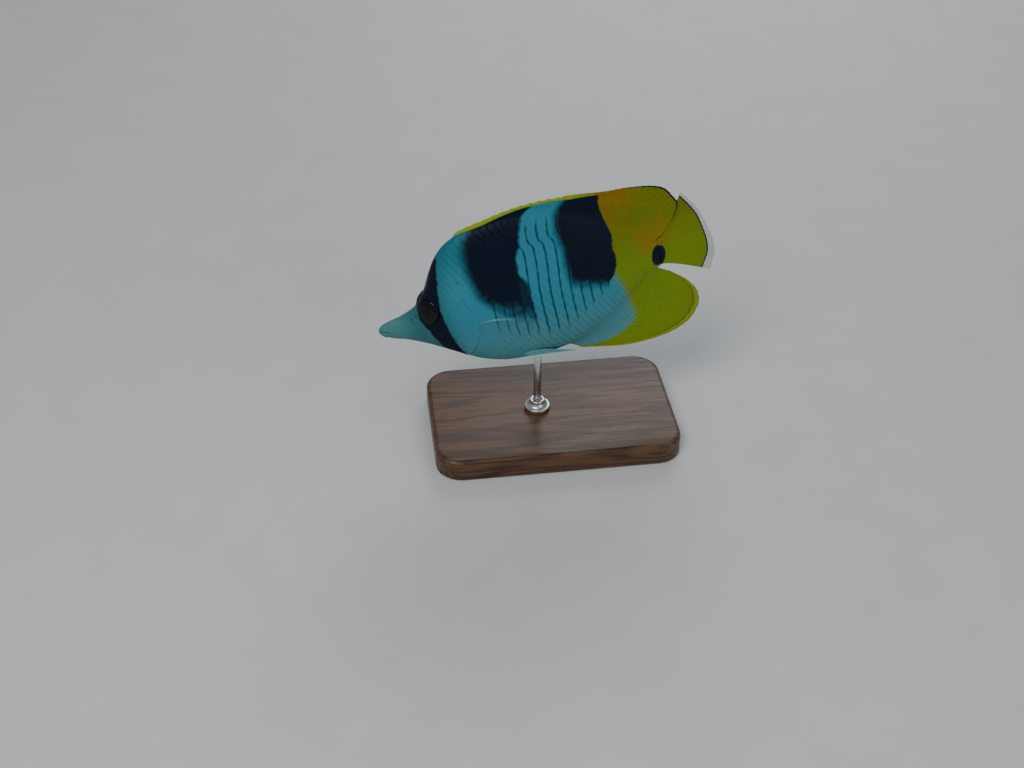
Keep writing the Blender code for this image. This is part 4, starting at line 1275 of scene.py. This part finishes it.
LINE_KINK = [
    (-0.30, 0.0), (-0.10, 0.0), (0.02, -0.0015), (0.13, 0.006), (0.19, 0.009), (0.215, 0.004),
    (0.235, -0.005), (0.27, -0.001), (0.30, 0.006), (0.36, 0.010),
]
LINE_COUNTS = [
    (0.394, -5), (0.426, -4), (0.454, -3), (0.487, -2), (0.520, -1), (0.554, 0), (0.589, 1),
    (0.624, 2), (0.657, 3), (0.688, 4), (0.718, 5), (0.750, 6), (0.777, 7), (0.804, 8),
]

KINK_SPAN = (-0.02, 0.02)
COUNT_SPAN = (-6.0, 9.0)
COUNTED_SPAN = (0.38, 0.81)
FIRST_SOFT = (0.024, 0.008)
SECOND_SOFT = (0.020, 0.0035)
BAND_SOFT = (0.0035, 0.0040)
YELLOW_SOFT = 0.020
STRIP_SOFT = 0.0025
# A saddle's foot: a station, its slope about there, and the heights there over which black comes in
FIRST_FOOT = (0.440, 0.55, -0.070, 0.056)
SECOND_FOOT = (0.686, 0.45, -0.006, 0.052)
SPOT_PLACE = (0.973, -0.004)
SPOT_SIZE = (0.031, 0.041)
WARM_TOP = (0.845, 0.292, 0)
# Middle of the orange painted shadow on the top of the stalk, under the soft dorsal fin's rear lobe
STALK_SHADOW_PLACE = (0.965, 0.075, 0)
RUST_STATION = 0.850
SPOT_EDGE = (0.86, 1.04)
LINE_SPAN = ((0.368, 0.384), (0.792, 0.804))
LINE_TOP = (0.262, 0.296)
LINE_EDGE = (0.030, 0.135)
LINE_FADE = (0.0, 0.055)
# Tints of the flank and the head, among them painted light, shade and sheen: the stations and the heights
# over which they come in or go
# Below LOW_FLANK the flank turns to the belly's greyer, lighter tone, which holds a painted sheen
LOW_FLANK = (-0.22, 0.02)
# LIT_PART is painted light: the upper flank behind the first saddle made lighter where light falls
LIT_PART = ((0.46, 0.56), (-0.12, 0.10))
SNOUT_PART = (0.05, 0.23)
# NAPE_PART and NAPE_REAR place painted shade over the top of the back, full at the nape and less behind
# it
NAPE_PART = ((0.30, 0.42), (0.12, 0.26))
NAPE_REAR = 0.32
CHIN_PART = ((0.16, 0.30), (-0.110, -0.020))
CHEEK_PART = ((0.045, 0.150), (0.20, 0.29))
WORN_PART = ((0.484, 0.490), (0.095, 0.125))

# Colours
BODY_FLECK = (0.03, 0.19, 0.26)
FRINGE_BROWN = (0.17, 0.10, 0.02)
SCALE_EDGE = (0.30, 0.50, 0.50)
BODY_PALE = (0.036, 0.235, 0.320)
# painted light on the upper flank, and the lighter blue of the mottle
BODY_LIT_AND_MOTTLE = (0.030, 0.225, 0.325)
# painted shade: the darker blue laid over the top of the back and the nape
NAPE_SHADE_BLUE = (0.012, 0.130, 0.170)
# the belly's greyer tone with a painted sheen in it
BELLY_TONE_AND_SHEEN = (0.085, 0.255, 0.275)
SNOUT_GREY = (0.066, 0.212, 0.200)
CHIN_GREY = (0.060, 0.160, 0.165)
CHEEK_GREY = (0.026, 0.108, 0.118)
NIGHT = (0.0004, 0.005, 0.017)
LINE_BLUE = (0.0015, 0.036, 0.070)
YELLOW = (0.140, 0.168, 0.0006)
STRIP_YELLOW = (0.290, 0.370, 0.002)
YELLOW_LOW = (0.165, 0.250, 0.0008)
ORANGE = (0.300, 0.125, 0.0008)
RUST = (0.175, 0.095, 0.0008)
IRIS_DARKS = ((0.001, 0.003, 0.007), (0.005, 0.006, 0.009))
EYE_RING = (0.020, 0.016, 0.010)
EYE_OUTER = (0.004, 0.006, 0.010)
PUPIL = (0.0006, 0.0006, 0.0008)
WOOD_DARK = (0.040, 0.017, 0.009)
WOOD_LIGHT = (0.105, 0.050, 0.024)
WOOD_FIBRE = (0.145, 0.074, 0.036)
WOOD_PORE = (0.016, 0.007, 0.004)
STEEL_GREYS = ((0.54, 0.55, 0.56), (0.66, 0.66, 0.65))
FLOOR_GREYS = ((0.60, 0.61, 0.61), (0.66, 0.67, 0.67))


def markings_group():
    """Colour and dark and yellow shares of the fish's skin, for a place (station, height)."""
    inputs = [("Place", "Vector", None), ("Roughen", "Float", 1.0)]
    outputs = [("Color", "Color"), ("Dark", "Float"), ("Yellow", "Float")]
    tree, w, given, out = group_tree("fish_markings", inputs, outputs)
    place = given["Place"]
    station, height, _ = w.split(place)
    ragged = w.times(w.minus(w.noise(place, 55, 3), 0.5), w.times(given["Roughen"], 0.012))
    x = w.plus(station, ragged)

    def edge(knots):
        return w.curve(height, knots, STATIONS, HEIGHTS)

    def past(knots, soft):
        """0 before an edge and 1 behind it."""
        return w.rise(w.minus(x, edge(knots)), -soft, soft)

    def between(front, rear, soft):
        return w.times(past(front, soft[0]), w.rest(past(rear, soft[1])))

    def on_foot(saddle, foot, patches):
        """A saddle that fades out over its sloping foot."""
        level, slope, low, high = foot
        above = w.plus(w.plus(height, patches), w.times(w.minus(station, level), slope))
        return w.times(saddle, w.rise(above, low, high))

    # The flank's blues and the greys of the head, with a painted sheen on the lower flank, painted light
    # on the upper flank and painted shade over the top of the back
    mottle = w.noise(place, 16, 4, 0.6)
    fine = w.noise(place, 140, 2)
    # The lower flank greyer and lighter: the belly's tone with a painted sheen
    flank = w.mix(w.rise(height, *LOW_FLANK), BELLY_TONE_AND_SHEEN, BODY_PALE)
    # Painted light: the upper flank behind the first saddle lighter
    lit = w.times(w.rise(station, *LIT_PART[0]), w.rise(height, *LIT_PART[1]))
    flank = w.mix(w.times(lit, 0.7), flank, BODY_LIT_AND_MOTTLE)
    flank = w.mix(w.fall(station, *SNOUT_PART), flank, SNOUT_GREY)
    # Painted shade: the top of the back darker, most of all at the nape
    nape = w.times(w.rise(station, *NAPE_PART[0], 1.0, NAPE_REAR), w.rise(height, *NAPE_PART[1]))
    flank = w.mix(w.times(nape, 0.78), flank, NAPE_SHADE_BLUE)
    chin = w.times(w.fall(station, *CHIN_PART[0]), w.fall(height, *CHIN_PART[1]))
    flank = w.mix(w.times(chin, 0.90), flank, CHIN_GREY)
    cheek = w.times(w.rise(station, *CHEEK_PART[0]), w.fall(station, *CHEEK_PART[1]))
    flank = w.mix(w.times(cheek, 0.80), flank, CHEEK_GREY)
    flank = w.mix(w.times(w.rise(mottle, 0.42, 0.72), 0.30), flank, BODY_LIT_AND_MOTTLE)
    flank = w.mix(w.times(w.rise(fine, 0.45, 0.75), 0.14), flank, BODY_FLECK)

    # The yellow rear, warmer at the top of the back, with an orange painted shadow over the stalk under
    # the soft dorsal fin's rear lobe, and the strip on the spines
    strip_height = w.curve(station, STRIP_BOTTOM, HEIGHTS, STATIONS)
    strip = w.rise(w.minus(height, strip_height), -STRIP_SOFT, STRIP_SOFT)
    yellow_share = w.larger(past(YELLOW_FRONT, YELLOW_SOFT), strip)
    yellow = w.mix(w.fall(height, -0.05, 0.16), YELLOW, YELLOW_LOW)
    orange_and_shadow = w.fall(w.distance(place, WARM_TOP), 0.02, 0.13)
    # Painted shadow: orange over the top of the stalk, where the soft dorsal fin's rear lobe overlaps it
    orange_and_shadow = w.plus(orange_and_shadow, w.fall(w.distance(place, STALK_SHADOW_PLACE), 0.02, 0.09))
    orange_and_shadow = w.times(w.math("MINIMUM", orange_and_shadow, 1.0), w.rise(mottle, 0.25, 0.58))
    yellow = w.mix(w.times(orange_and_shadow, 0.80), yellow, ORANGE)
    rust = w.times(w.fall(w.gap(station, RUST_STATION), 0.02, 0.10), w.rise(height, 0.10, 0.20))
    yellow = w.mix(w.times(rust, w.rise(mottle, 0.40, 0.62, 0.08, 0.42)), yellow, RUST)
    yellow = w.mix(w.times(strip, w.fall(station, 0.70, 0.84)), yellow, STRIP_YELLOW)
    colour = w.mix(yellow_share, flank, yellow)

    # The thin lines, counted along the flank and shifted where they kink
    kink = w.curve(height, LINE_KINK, KINK_SPAN, HEIGHTS)
    count = w.curve(w.minus(station, kink), LINE_COUNTS, COUNT_SPAN, COUNTED_SPAN)
    count = w.plus(count, w.times(ragged, 5.0))
    offset = w.gap(w.math("FRACT", w.plus(count, 0.5)), 0.5)
    line = w.times(w.fall(offset, *LINE_EDGE), w.fall(height, *LINE_TOP))
    ends = w.curve(station, LINE_ENDS, HEIGHTS, STATIONS)
    line = w.times(line, w.rise(w.minus(height, ends), *LINE_FADE))
    line = w.times(line, w.times(w.rise(station, *LINE_SPAN[0]), w.fall(station, *LINE_SPAN[1])))
    colour = w.mix(w.times(w.times(line, w.rest(strip)), 0.88), colour, LINE_BLUE)

    # The two saddles, the first a little worn along its rear edge
    patchy = w.times(w.minus(w.noise(place, 46, 1), 0.5), 0.07)
    first = on_foot(between(FIRST_FRONT, FIRST_REAR, FIRST_SOFT), FIRST_FOOT, patchy)
    second = between(SECOND_FRONT, SECOND_REAR, SECOND_SOFT)
    second = on_foot(second, SECOND_FOOT, w.times(patchy, 0.5))
    worn = w.times(w.rise(x, *WORN_PART[0]), w.fall(height, *WORN_PART[1]))
    first = w.times(first, w.rest(w.times(worn, 0.07)))
    saddles = w.times(w.larger(first, second), w.rest(strip))
    colour = w.mix(saddles, colour, NIGHT)

    # The band over the eye with its brown fringe, and the spot on the stalk
    fringe = w.times(w.rise(w.minus(x, edge(BAND_FRONT)), -0.012, -0.003), w.fall(station, 0.20, 0.22))
    fringe = w.times(fringe, w.times(w.rise(height, 0.06, 0.10), w.fall(height, 0.15, 0.19)))
    colour = w.mix(w.times(fringe, 0.55), colour, FRINGE_BROWN)
    band = between(BAND_FRONT, BAND_REAR, BAND_SOFT)
    colour = w.mix(band, colour, NIGHT)
    spot_x = w.math("DIVIDE", w.minus(station, SPOT_PLACE[0]), SPOT_SIZE[0])
    spot_z = w.math("DIVIDE", w.minus(height, SPOT_PLACE[1]), SPOT_SIZE[1])
    spot = w.fall(w.plus(w.length(spot_x, spot_z), w.times(ragged, 14.0)), *SPOT_EDGE)
    w.put(out["Color"], w.mix(spot, colour, NIGHT))
    w.put(out["Dark"], w.larger(w.larger(saddles, band), spot))
    w.put(out["Yellow"], yellow_share)
    return tree


# Fixed values of each finish
SKIN_GLOSS = {"Specular IOR Level": 0.12, "Coat Weight": 0.03, "Coat Roughness": 0.30}
EYE_GLOSS = {"Specular IOR Level": 0.12, "Coat Weight": 0.22, "Coat Roughness": 0.03}
WOOD_VARNISH = {"Specular IOR Level": 0.3, "Coat Weight": 0.12, "Coat Roughness": 0.25}
SKIN_ROUGH = (0.42, 0.54)
BUMP_DEPTH = 0.0002


def new_material(name, finish):
    """A material with a Principled shader of a fixed finish, its Weave and the shader's inputs."""
    material = bpy.data.materials.new(name)
    material.use_nodes = True
    weave = Weave(material.node_tree)
    shader = weave.add("ShaderNodeBsdfPrincipled")
    output = weave.add("ShaderNodeOutputMaterial")
    weave.tree.links.new(shader.outputs[0], output.inputs[0])
    for title, value in finish.items():
        shader.inputs[title].default_value = value
    return material, weave, shader.inputs


def skin_material(name, scaled):
    """Painted skin with the fish's markings. Scales add their free edges and growth rings."""
    material, w, shader = new_material(name, SKIN_GLOSS)
    marks = w.use(MARKINGS, Place=w.map("FishPlace"))
    colour, dark = marks["Color"], marks["Dark"]
    grain = w.noise(w.here(), 900, 3)
    if scaled:
        along, across, _ = w.split(w.map("ScalePlace"))
        from_middle = w.length(w.minus(along, 0.5), w.minus(across, 0.5))
        rings = w.math("SINE", w.times(from_middle, 85.0))
        pale = w.times(w.rise(from_middle, 0.40, 0.50), w.rest(dark))
        colour = w.mix(w.times(pale, 0.07), colour, SCALE_EDGE)
        w.put(shader["Normal"], w.bump(w.plus(w.times(rings, 0.20), grain), 0.12, BUMP_DEPTH))
    else:
        w.put(shader["Normal"], w.bump(grain, 0.25, BUMP_DEPTH))
    w.put(shader["Base Color"], colour)
    w.put(shader["Roughness"], w.plus(w.rise(grain, 0.2, 0.8, *SKIN_ROUGH), w.times(dark, 0.05)))
    return material


def fin_group():
    """Rays, dark line, tinted zone, pale leading edge and clear margin, for (share, depth).

    A line, zone, edge or margin that starts past 1 isn't on the fin.
    """
    inputs = [
        ("Place", "Vector", None), ("Color", "Color", None),
        ("Ray Color", "Color", (0.4, 0.35, 0.02, 1)), ("Zone Color", "Color", (0.2, 0.24, 0.002, 1)),
        ("Edge Color", "Color", (0.5, 0.7, 0.7, 1)), ("Margin Color", "Color", (0.5, 0.6, 0.6, 1)),
        ("Rays", "Float", 20.0), ("Ray Tint", "Float", 0.25),
        ("Line", "Float", 0.9), ("Line Bow", "Float", 0.0), ("Line Width", "Float", 0.01),
        ("Line Share", "Float", 1.0), ("Line From", "Float", -1.0), ("Line To", "Float", 3.0),
        ("Zone From", "Float", 3.0), ("Edge At", "Float", 5.0), ("Edge Alpha", "Float", 1.0),
        ("Edge To", "Float", 1.05),
        ("Clear Gap", "Float", 3.0), ("Clear Alpha", "Float", 0.4), ("Root Alpha", "Float", 1.0),
        ("Web Alpha", "Float", 1.0), ("Thin From", "Float", 0.5), ("Thin To", "Float", 0.97),
        ("Ray Alpha", "Float", 0.0),
    ]
    outputs = [("Color", "Color"), ("Alpha", "Float"), ("Height", "Float")]
    tree, w, given, out = group_tree("fin_web", inputs, outputs)
    share, depth, _ = w.split(given["Place"])
    part = w.gap(w.math("FRACT", w.times(share, given["Rays"])), 0.5)
    fork = w.times(w.rise(depth, FORK_LENGTH, 2 * FORK_LENGTH), FORK_SPREADS[0])
    ray = w.fall(w.gap(part, fork), 0.03, 0.11)
    joints = w.rise(w.math("SINE", w.times(depth, 260.0)), 0.55, 0.95)
    uneven = w.noise(w.join(w.times(share, given["Rays"]), w.times(depth, 6.0)), 2.2, 3)
    colour = w.mix(w.times(ray, given["Ray Tint"]), given["Color"], given["Ray Color"])
    colour = w.mix(w.times(w.rise(uneven, 0.4, 0.7), given["Ray Tint"]), colour, given["Ray Color"])
    zone = w.rise(w.minus(depth, given["Zone From"]), -0.05, 0.03)
    colour = w.mix(w.times(zone, 0.8), colour, given["Zone Color"])
    edge = w.fall(w.gap(share, given["Edge At"]), 0.03, 0.16)
    edge = w.times(edge, w.fall(depth, w.minus(given["Edge To"], 0.50), given["Edge To"]))
    colour = w.mix(w.times(edge, 0.85), colour, given["Edge Color"])
    bowed = w.minus(given["Line"], w.times(given["Line Bow"], w.times(share, share)))
    gap = w.minus(depth, bowed)
    clear = w.rise(w.minus(gap, given["Clear Gap"]), -0.006, 0.008)
    colour = w.mix(clear, colour, given["Margin Color"])
    line = w.fall(w.math("DIVIDE", w.math("ABSOLUTE", gap), given["Line Width"]), 0.5, 1.3)
    line = w.times(line, w.rise(w.minus(share, given["Line From"]), -0.12, 0.12))
    line = w.times(line, w.fall(w.minus(share, given["Line To"]), -0.07, 0.07))
    line = w.times(line, given["Line Share"])
    colour = w.mix(line, colour, NIGHT)
    thin = w.rise(depth, given["Thin From"], given["Thin To"])
    web = w.plus(w.times(thin, w.minus(given["Web Alpha"], given["Root Alpha"])), given["Root Alpha"])
    web = w.larger(web, w.times(ray, given["Ray Alpha"]))
    web = w.larger(web, w.times(edge, given["Edge Alpha"]))
    mixed = w.plus(w.times(clear, w.minus(given["Clear Alpha"], web)), web)
    w.put(out["Color"], colour)
    w.put(out["Alpha"], w.larger(mixed, line))
    w.put(out["Height"], w.times(ray, w.rest(w.times(joints, 0.6))))
    return tree


def fin_material(name, rays, marked=True, **form):
    """A painted fin. A marked one takes its colour from the fish's markings."""
    material, w, shader = new_material(name, SKIN_GLOSS)
    if marked:
        marks = w.use(MARKINGS, Place=w.map("FishPlace"), Roughen=0.5)
        bright = w.times(marks["Yellow"], w.rest(marks["Dark"]))
        form.update(Color=marks["Color"], Ray_Tint=w.times(bright, 0.22))
    fin = w.use(FIN_WEB, Place=w.map("FinPlace"), Rays=float(rays), **form)
    w.put(shader["Base Color"], fin["Color"])
    w.put(shader["Alpha"], fin["Alpha"])
    w.put(shader["Normal"], w.bump(fin["Height"], 0.18, BUMP_DEPTH))
    w.put(shader["Roughness"], w.rise(w.noise(w.here(), 700, 2), 0.2, 0.8, *SKIN_ROUGH))
    return material


def eye_material():
    """Near-black glossy eye: black pupil, a faint dull gold ring and a dark iris."""
    material, w, shader = new_material("eye_gloss", EYE_GLOSS)
    x, y, _ = w.split(w.map("EyePlace"))
    x, y = w.times(w.minus(x, 0.5), 2.0), w.times(w.minus(y, 0.5), 2.0)
    radius = w.length(x, y)
    around = w.math("ARCTAN2", y, x)
    fibres = w.noise(w.join(w.times(around, 9.0), w.times(radius, 2.0)), 3.0, 3)
    iris = w.mix(w.rise(fibres, 0.35, 0.7), *IRIS_DARKS)
    ring = w.times(w.rise(radius, 0.40, 0.44), w.fall(radius, 0.46, 0.52))
    colour = w.mix(w.times(ring, 0.35), iris, EYE_RING)
    colour = w.mix(w.fall(radius, 0.40, 0.425), colour, PUPIL)
    colour = w.mix(w.rise(radius, 0.80, 0.95), colour, EYE_OUTER)
    w.put(shader["Base Color"], colour)
    w.put(shader["Roughness"], w.rise(fibres, 0.2, 0.8, 0.10, 0.20))
    return material


def wood_material():
    """Dark varnished wood with bands, fibres and open pores along the stand."""
    material, w, shader = new_material("stand_wood", WOOD_VARNISH)
    stretch = w.stretched(w.here(), (14.0, 210.0, 210.0), 0.035)
    fibres = w.noise(stretch, 3.0, 6, 0.62)
    bands = w.noise(w.stretched(w.here(), (4.0, 42.0, 42.0)), 2.2, 3)
    rings = w.math("SINE", w.times(w.plus(bands, w.times(fibres, 0.08)), 46.0))
    pores = w.rise(w.noise(stretch, 11.0, 3, 0.7), 0.60, 0.72)
    colour = w.mix(w.rise(rings, -1.0, 1.0), WOOD_DARK, WOOD_LIGHT)
    colour = w.mix(w.times(w.rise(fibres, 0.35, 0.70), 0.45), colour, WOOD_FIBRE)
    w.put(shader["Base Color"], w.mix(w.times(pores, 0.7), colour, WOOD_PORE))
    w.put(shader["Roughness"], w.plus(w.rise(fibres, 0.3, 0.7, 0.40, 0.52), w.times(pores, 0.16)))
    w.put(shader["Normal"], w.bump(w.minus(w.times(fibres, 0.4), pores), 0.22, BUMP_DEPTH))
    return material


def steel_material():
    """Steel brushed round the rod, with faint smudges."""
    material, w, shader = new_material("stand_steel", {"Metallic": 1.0})
    brushed = w.noise(w.stretched(w.here(), (180.0, 180.0, 5200.0)), 1.0, 4, 0.7)
    smudge = w.noise(w.here(), 130, 3)
    w.put(shader["Base Color"], w.mix(w.rise(smudge, 0.35, 0.7), *STEEL_GREYS))
    w.put(shader["Roughness"], w.plus(w.rise(brushed, 0.3, 0.7, 0.20, 0.32), w.times(smudge, 0.06)))
    w.put(shader["Normal"], w.bump(brushed, 0.06, 0.0001))
    return material


def floor_material():
    material, w, shader = new_material("pale_floor", {"Roughness": 0.75})
    w.put(shader["Base Color"], w.mix(w.noise(w.here(), 40, 4), *FLOOR_GREYS))
    return material


# Stand


TURNED_SIDES = 96
ROD_SOFT = 0.0001  # how far an edge is rounded off
COLLAR_SOFT = 0.00035
COLLAR_NECK = 0.56  # of the collar's radius
COLLAR_BELT = 0.30  # of its height


def node_span(name):
    """Lowest and highest corner of a solid's box."""
    points = np.array([vertex.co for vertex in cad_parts[name].data.vertices])
    return points.min(axis=0), points.max(axis=0)


def turned_piece(name, profile, middle, material, replaced):
    """A smooth piece turned about an upright axis, from a closed profile of (radius, height)."""
    profile, sides = np.array(profile), TURNED_SIDES
    turns = 2 * np.pi * np.arange(sides) / sides
    ring = np.stack([np.cos(turns), np.sin(turns)], axis=-1)
    flat = profile[:, 0, None, None] * ring + middle
    up = np.broadcast_to(profile[:, 1, None, None], (len(profile), sides, 1))
    points = np.concatenate([flat, up], axis=-1).reshape(-1, 3)
    faces = grid_faces(len(profile), sides, closed=True).tolist()
    last = (len(profile) - 1) * sides
    faces += [[last + k, last + (k + 1) % sides, (k + 1) % sides, k] for k in range(sides)]
    mesh = smooth_mesh(name, points, faces)
    mesh.materials.append(material)
    mesh.update()
    obj = in_scene(name, mesh)
    face_outwards(obj)
    finish_piece(obj, [replaced])


def turned_rod(material):
    low, high = node_span("stand_rod")
    radius, core = (high[1] - low[1]) / 2, 0.0001
    profile = [(core, low[2]), (radius - ROD_SOFT, low[2]), (radius, low[2] + ROD_SOFT)]
    profile += [(radius, high[2] - ROD_SOFT), (radius - ROD_SOFT, high[2]), (core, high[2])]
    turned_piece("rod", profile, (low + high)[:2] / 2, material, "stand_rod")


def turned_collar(material):
    low, high = node_span("stand_collar")
    rod_low, rod_high = node_span("stand_rod")
    radius, height = (high[1] - low[1]) / 2, high[2] - low[2]
    bore = (rod_high[1] - rod_low[1]) / 2 + 0.0001
    neck, soft = radius * COLLAR_NECK, COLLAR_SOFT
    corner = np.radians(np.linspace(0, 90, 6))
    profile = [(bore, 0.0), (radius - soft, 0.0)]
    profile += [(radius - soft * (1 - math.sin(a)), soft * (1 - math.cos(a))) for a in corner[1:]]
    belt = height * COLLAR_BELT
    profile += [(radius - soft * (1 - math.cos(a)), belt + soft * math.sin(a)) for a in corner]
    rise = np.linspace(0, 1, 12)[1:]
    start, end = belt + soft, height - soft
    sweep = radius - soft - (radius - soft - neck) * np.sin(rise * math.pi / 2)
    profile += list(zip(sweep, start + (end - start) * rise**1.7))
    profile += [(neck - soft * (1 - math.cos(a)), end + soft * math.sin(a)) for a in corner[1:]]
    profile += [(bore, height)]
    profile = [(out, up + low[2]) for out, up in profile]
    turned_piece("collar", profile, (low + high)[:2] / 2, material, "stand_collar")


# Stage


FLOOR_HALF = 3
SKY = (0.86, 0.93, 1.0, 1)
SKY_STRENGTH = 0.30
LIT_PLACE = (0, 0, 0.06)
# Each light's place, size, power and colour
LIGHTS = {
    "key": ((-0.35, -0.45, 0.75), 0.45, 3.6, (1.0, 0.985, 0.96)),
    "fill": ((0.55, -0.75, 0.35), 0.7, 1.7, (0.90, 0.96, 1.0)),
    "back": ((0.25, 0.7, 0.55), 0.5, 2.4, (0.95, 0.98, 1.0)),
}


def area_light(name, place, size, power, colour):
    light = bpy.data.lights.new(name, "AREA")
    light.shape = "DISK"
    light.size = size
    light.energy = power
    light.color = colour
    obj = in_scene(name, light)
    obj.location = place
    way = Vector(LIT_PLACE) - obj.location
    obj.rotation_euler = way.to_track_quat("-Z", "Y").to_euler()


def stage():
    half = FLOOR_HALF
    mesh = bpy.data.meshes.new("floor")
    corners = [(-half, -half, 0), (half, -half, 0), (half, half, 0), (-half, half, 0)]
    mesh.from_pydata(corners, [], [(0, 1, 2, 3)])
    mesh.materials.append(floor_material())
    in_scene("floor", mesh)
    world = bpy.data.worlds.new("studio")
    world.use_nodes = True
    world.node_tree.nodes["Background"].inputs["Color"].default_value = SKY
    world.node_tree.nodes["Background"].inputs["Strength"].default_value = SKY_STRENGTH
    bpy.context.scene.world = world
    for name, values in LIGHTS.items():
        area_light(name, *values)


def camera():
    back = Vector(
        (
            math.sin(CAMERA_AZIMUTH) * math.cos(CAMERA_RISE),
            -math.cos(CAMERA_AZIMUTH) * math.cos(CAMERA_RISE),
            math.sin(CAMERA_RISE),
        )
    )
    data = bpy.data.cameras.new("camera")
    data.lens = 50
    data.sensor_width = 36
    obj = in_scene("camera", data)
    obj.location = Vector(CAMERA_TARGET) + back * CAMERA_DISTANCE
    obj.rotation_euler = (-back).to_track_quat("-Z", "Y").to_euler()
    bpy.context.scene.camera = obj


MARKINGS = markings_group()
FIN_WEB = fin_group()
COAT_TREE = coat_tree()
BLADE = scale_blade()

camera()
stage()
bare_skin = skin_material("painted_skin", scaled=False)
scaled_skin = skin_material("painted_scales", scaled=True)
grid, stations, girths, widest, cap = skin_grid()
skin = skin_body(grid, bare_skin)
face_outwards(skin)
FLESH = ["head", "lower_jaw", "gill_cover_left", "gill_cover_right", "trunk", "tail_stalk"]
finish_piece(skin, FLESH)
body_coats(grid, stations, girths, widest, cap, scaled_skin)

dorsal_paint = fin_material(
    "dorsal_paint", DORSAL_RAY_COUNT, Line=0.985, Line_Width=0.016, Line_From=0.42, Line_To=0.88,
    Web_Alpha=0.94, Thin_From=0.7, Ray_Color=(0.30, 0.24, 0.002, 1),
)
spine_paint = fin_material(
    "spine_paint", SPINE_COUNT, Line_Share=0.0, Ray_Color=(0.28, 0.31, 0.002, 1),
)
anal_paint = fin_material(
    "anal_paint", ANAL_SPINE_COUNT + ANAL_RAY_COUNT, Line=0.91, Line_Width=0.007, Line_Share=0.75,
    Line_From=0.35, Line_To=0.93, Zone_From=0.74, Zone_Color=(0.190, 0.240, 0.002, 1), Web_Alpha=0.94,
    Thin_From=0.7, Clear_Gap=0.012, Clear_Alpha=0.90, Margin_Color=(0.28, 0.32, 0.003, 1),
    Ray_Color=(0.24, 0.27, 0.002, 1),
)
tail_paint = fin_material(
    "tail_paint", TAIL_RAY_COUNT, Line=0.93, Line_Bow=0.11, Line_Width=0.014, Clear_Gap=0.012,
    Clear_Alpha=0.20, Web_Alpha=0.94, Thin_From=0.5, Ray_Color=(0.30, 0.24, 0.002, 1),
    Margin_Color=(0.10, 0.13, 0.12, 1),
)
pectoral_paint = fin_material(
    "pectoral_paint", PECTORAL_RAY_COUNT, False, Color=(0.12, 0.32, 0.35, 1), Line_Share=0.0,
    Root_Alpha=0.10, Thin_From=0.02, Thin_To=0.32, Web_Alpha=0.05, Ray_Alpha=0.11, Edge_At=1.0,
    Edge_Alpha=0.46, Edge_To=0.70, Edge_Color=(0.34, 0.52, 0.50, 1), Ray_Color=(0.20, 0.40, 0.40, 1),
)
pelvic_paint = fin_material(
    "pelvic_paint", 1 + PELVIC_RAY_COUNT, False, Color=(0.15, 0.44, 0.50, 1), Line_Share=0.0,
    Web_Alpha=0.90, Thin_From=0.3, Edge_At=0.05, Edge_Color=(0.74, 0.97, 1.00, 1),
    Ray_Color=(0.20, 0.48, 0.54, 1),
)
spines = median_fin(
    "dorsal_spines",
    root_line(DORSAL_FIRST, DORSAL_SPINES_END + SPINES_OVERLAP, back_height, -ROOT_SINK),
    SPINE_MARGIN, SPINE_COUNT, spine_paint, "dorsal_fin_spiny", BACK_FILLET, spines=SPINE_COUNT,
    rows=26, per_ray=20, scallop=0.05, halves=(0.0068, 0.0015), bare=(0.45, 0.75),
)
dorsal = median_fin(
    "dorsal_rays", root_line(DORSAL_SPINES_END, DORSAL_LAST, back_height, -ROOT_SINK),
    DORSAL_MARGIN, DORSAL_RAY_COUNT, dorsal_paint, "dorsal_fin_soft", BACK_FILLET, wave=0.0015,
    lean=0.010,
)
anal = median_fin(
    "anal_rays", root_line(ANAL_FIRST, ANAL_LAST, belly_height, ROOT_SINK),
    ANAL_MARGIN, ANAL_SPINE_COUNT + ANAL_RAY_COUNT, anal_paint, "anal_fin", BELLY_FILLET,
    spines=ANAL_SPINE_COUNT, wave=0.0015,
)
tail = median_fin(
    "tail_rays", tail_root, TAIL_MARGIN, TAIL_RAY_COUNT, tail_paint, "tail_fin", TAIL_FILLET,
    flare=TAIL_FLARE, scallop=0.006, rows=60, per_ray=20, wave=0.0012,
)
sheath("sheath_spines", spines, 0.36, 0.060, lambda share: 0.62 + 0.06 * share, scaled_skin, 21)
sheath("sheath_dorsal", dorsal, 0.42, 0.13, lambda share: 0.62 - 0.14 * share, scaled_skin, 22)
sheath("sheath_anal", anal, 0.42, 0.15, lambda share: 0.55 - 0.08 * share, scaled_skin, 23)
sheath(
    "sheath_tail", tail, 0.16, 0.19, lambda share: 0.30 + 0.0 * share, scaled_skin, 24,
    step=TAIL_SHEATH_STEP, lay=0.0,
)
eye_gloss = eye_material()
for side, word in ((-1, "left"), (1, "right")):
    pectoral_fin(side, word, pectoral_paint)
    pelvic_fin(side, word, pelvic_paint)
    eyeball(side, word, eye_gloss)
bpy.data.objects.remove(BLADE)

steel = steel_material()
turned_rod(steel)
turned_collar(steel)
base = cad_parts["stand_base"]
base.data.materials.clear()
base.data.materials.append(wood_material())
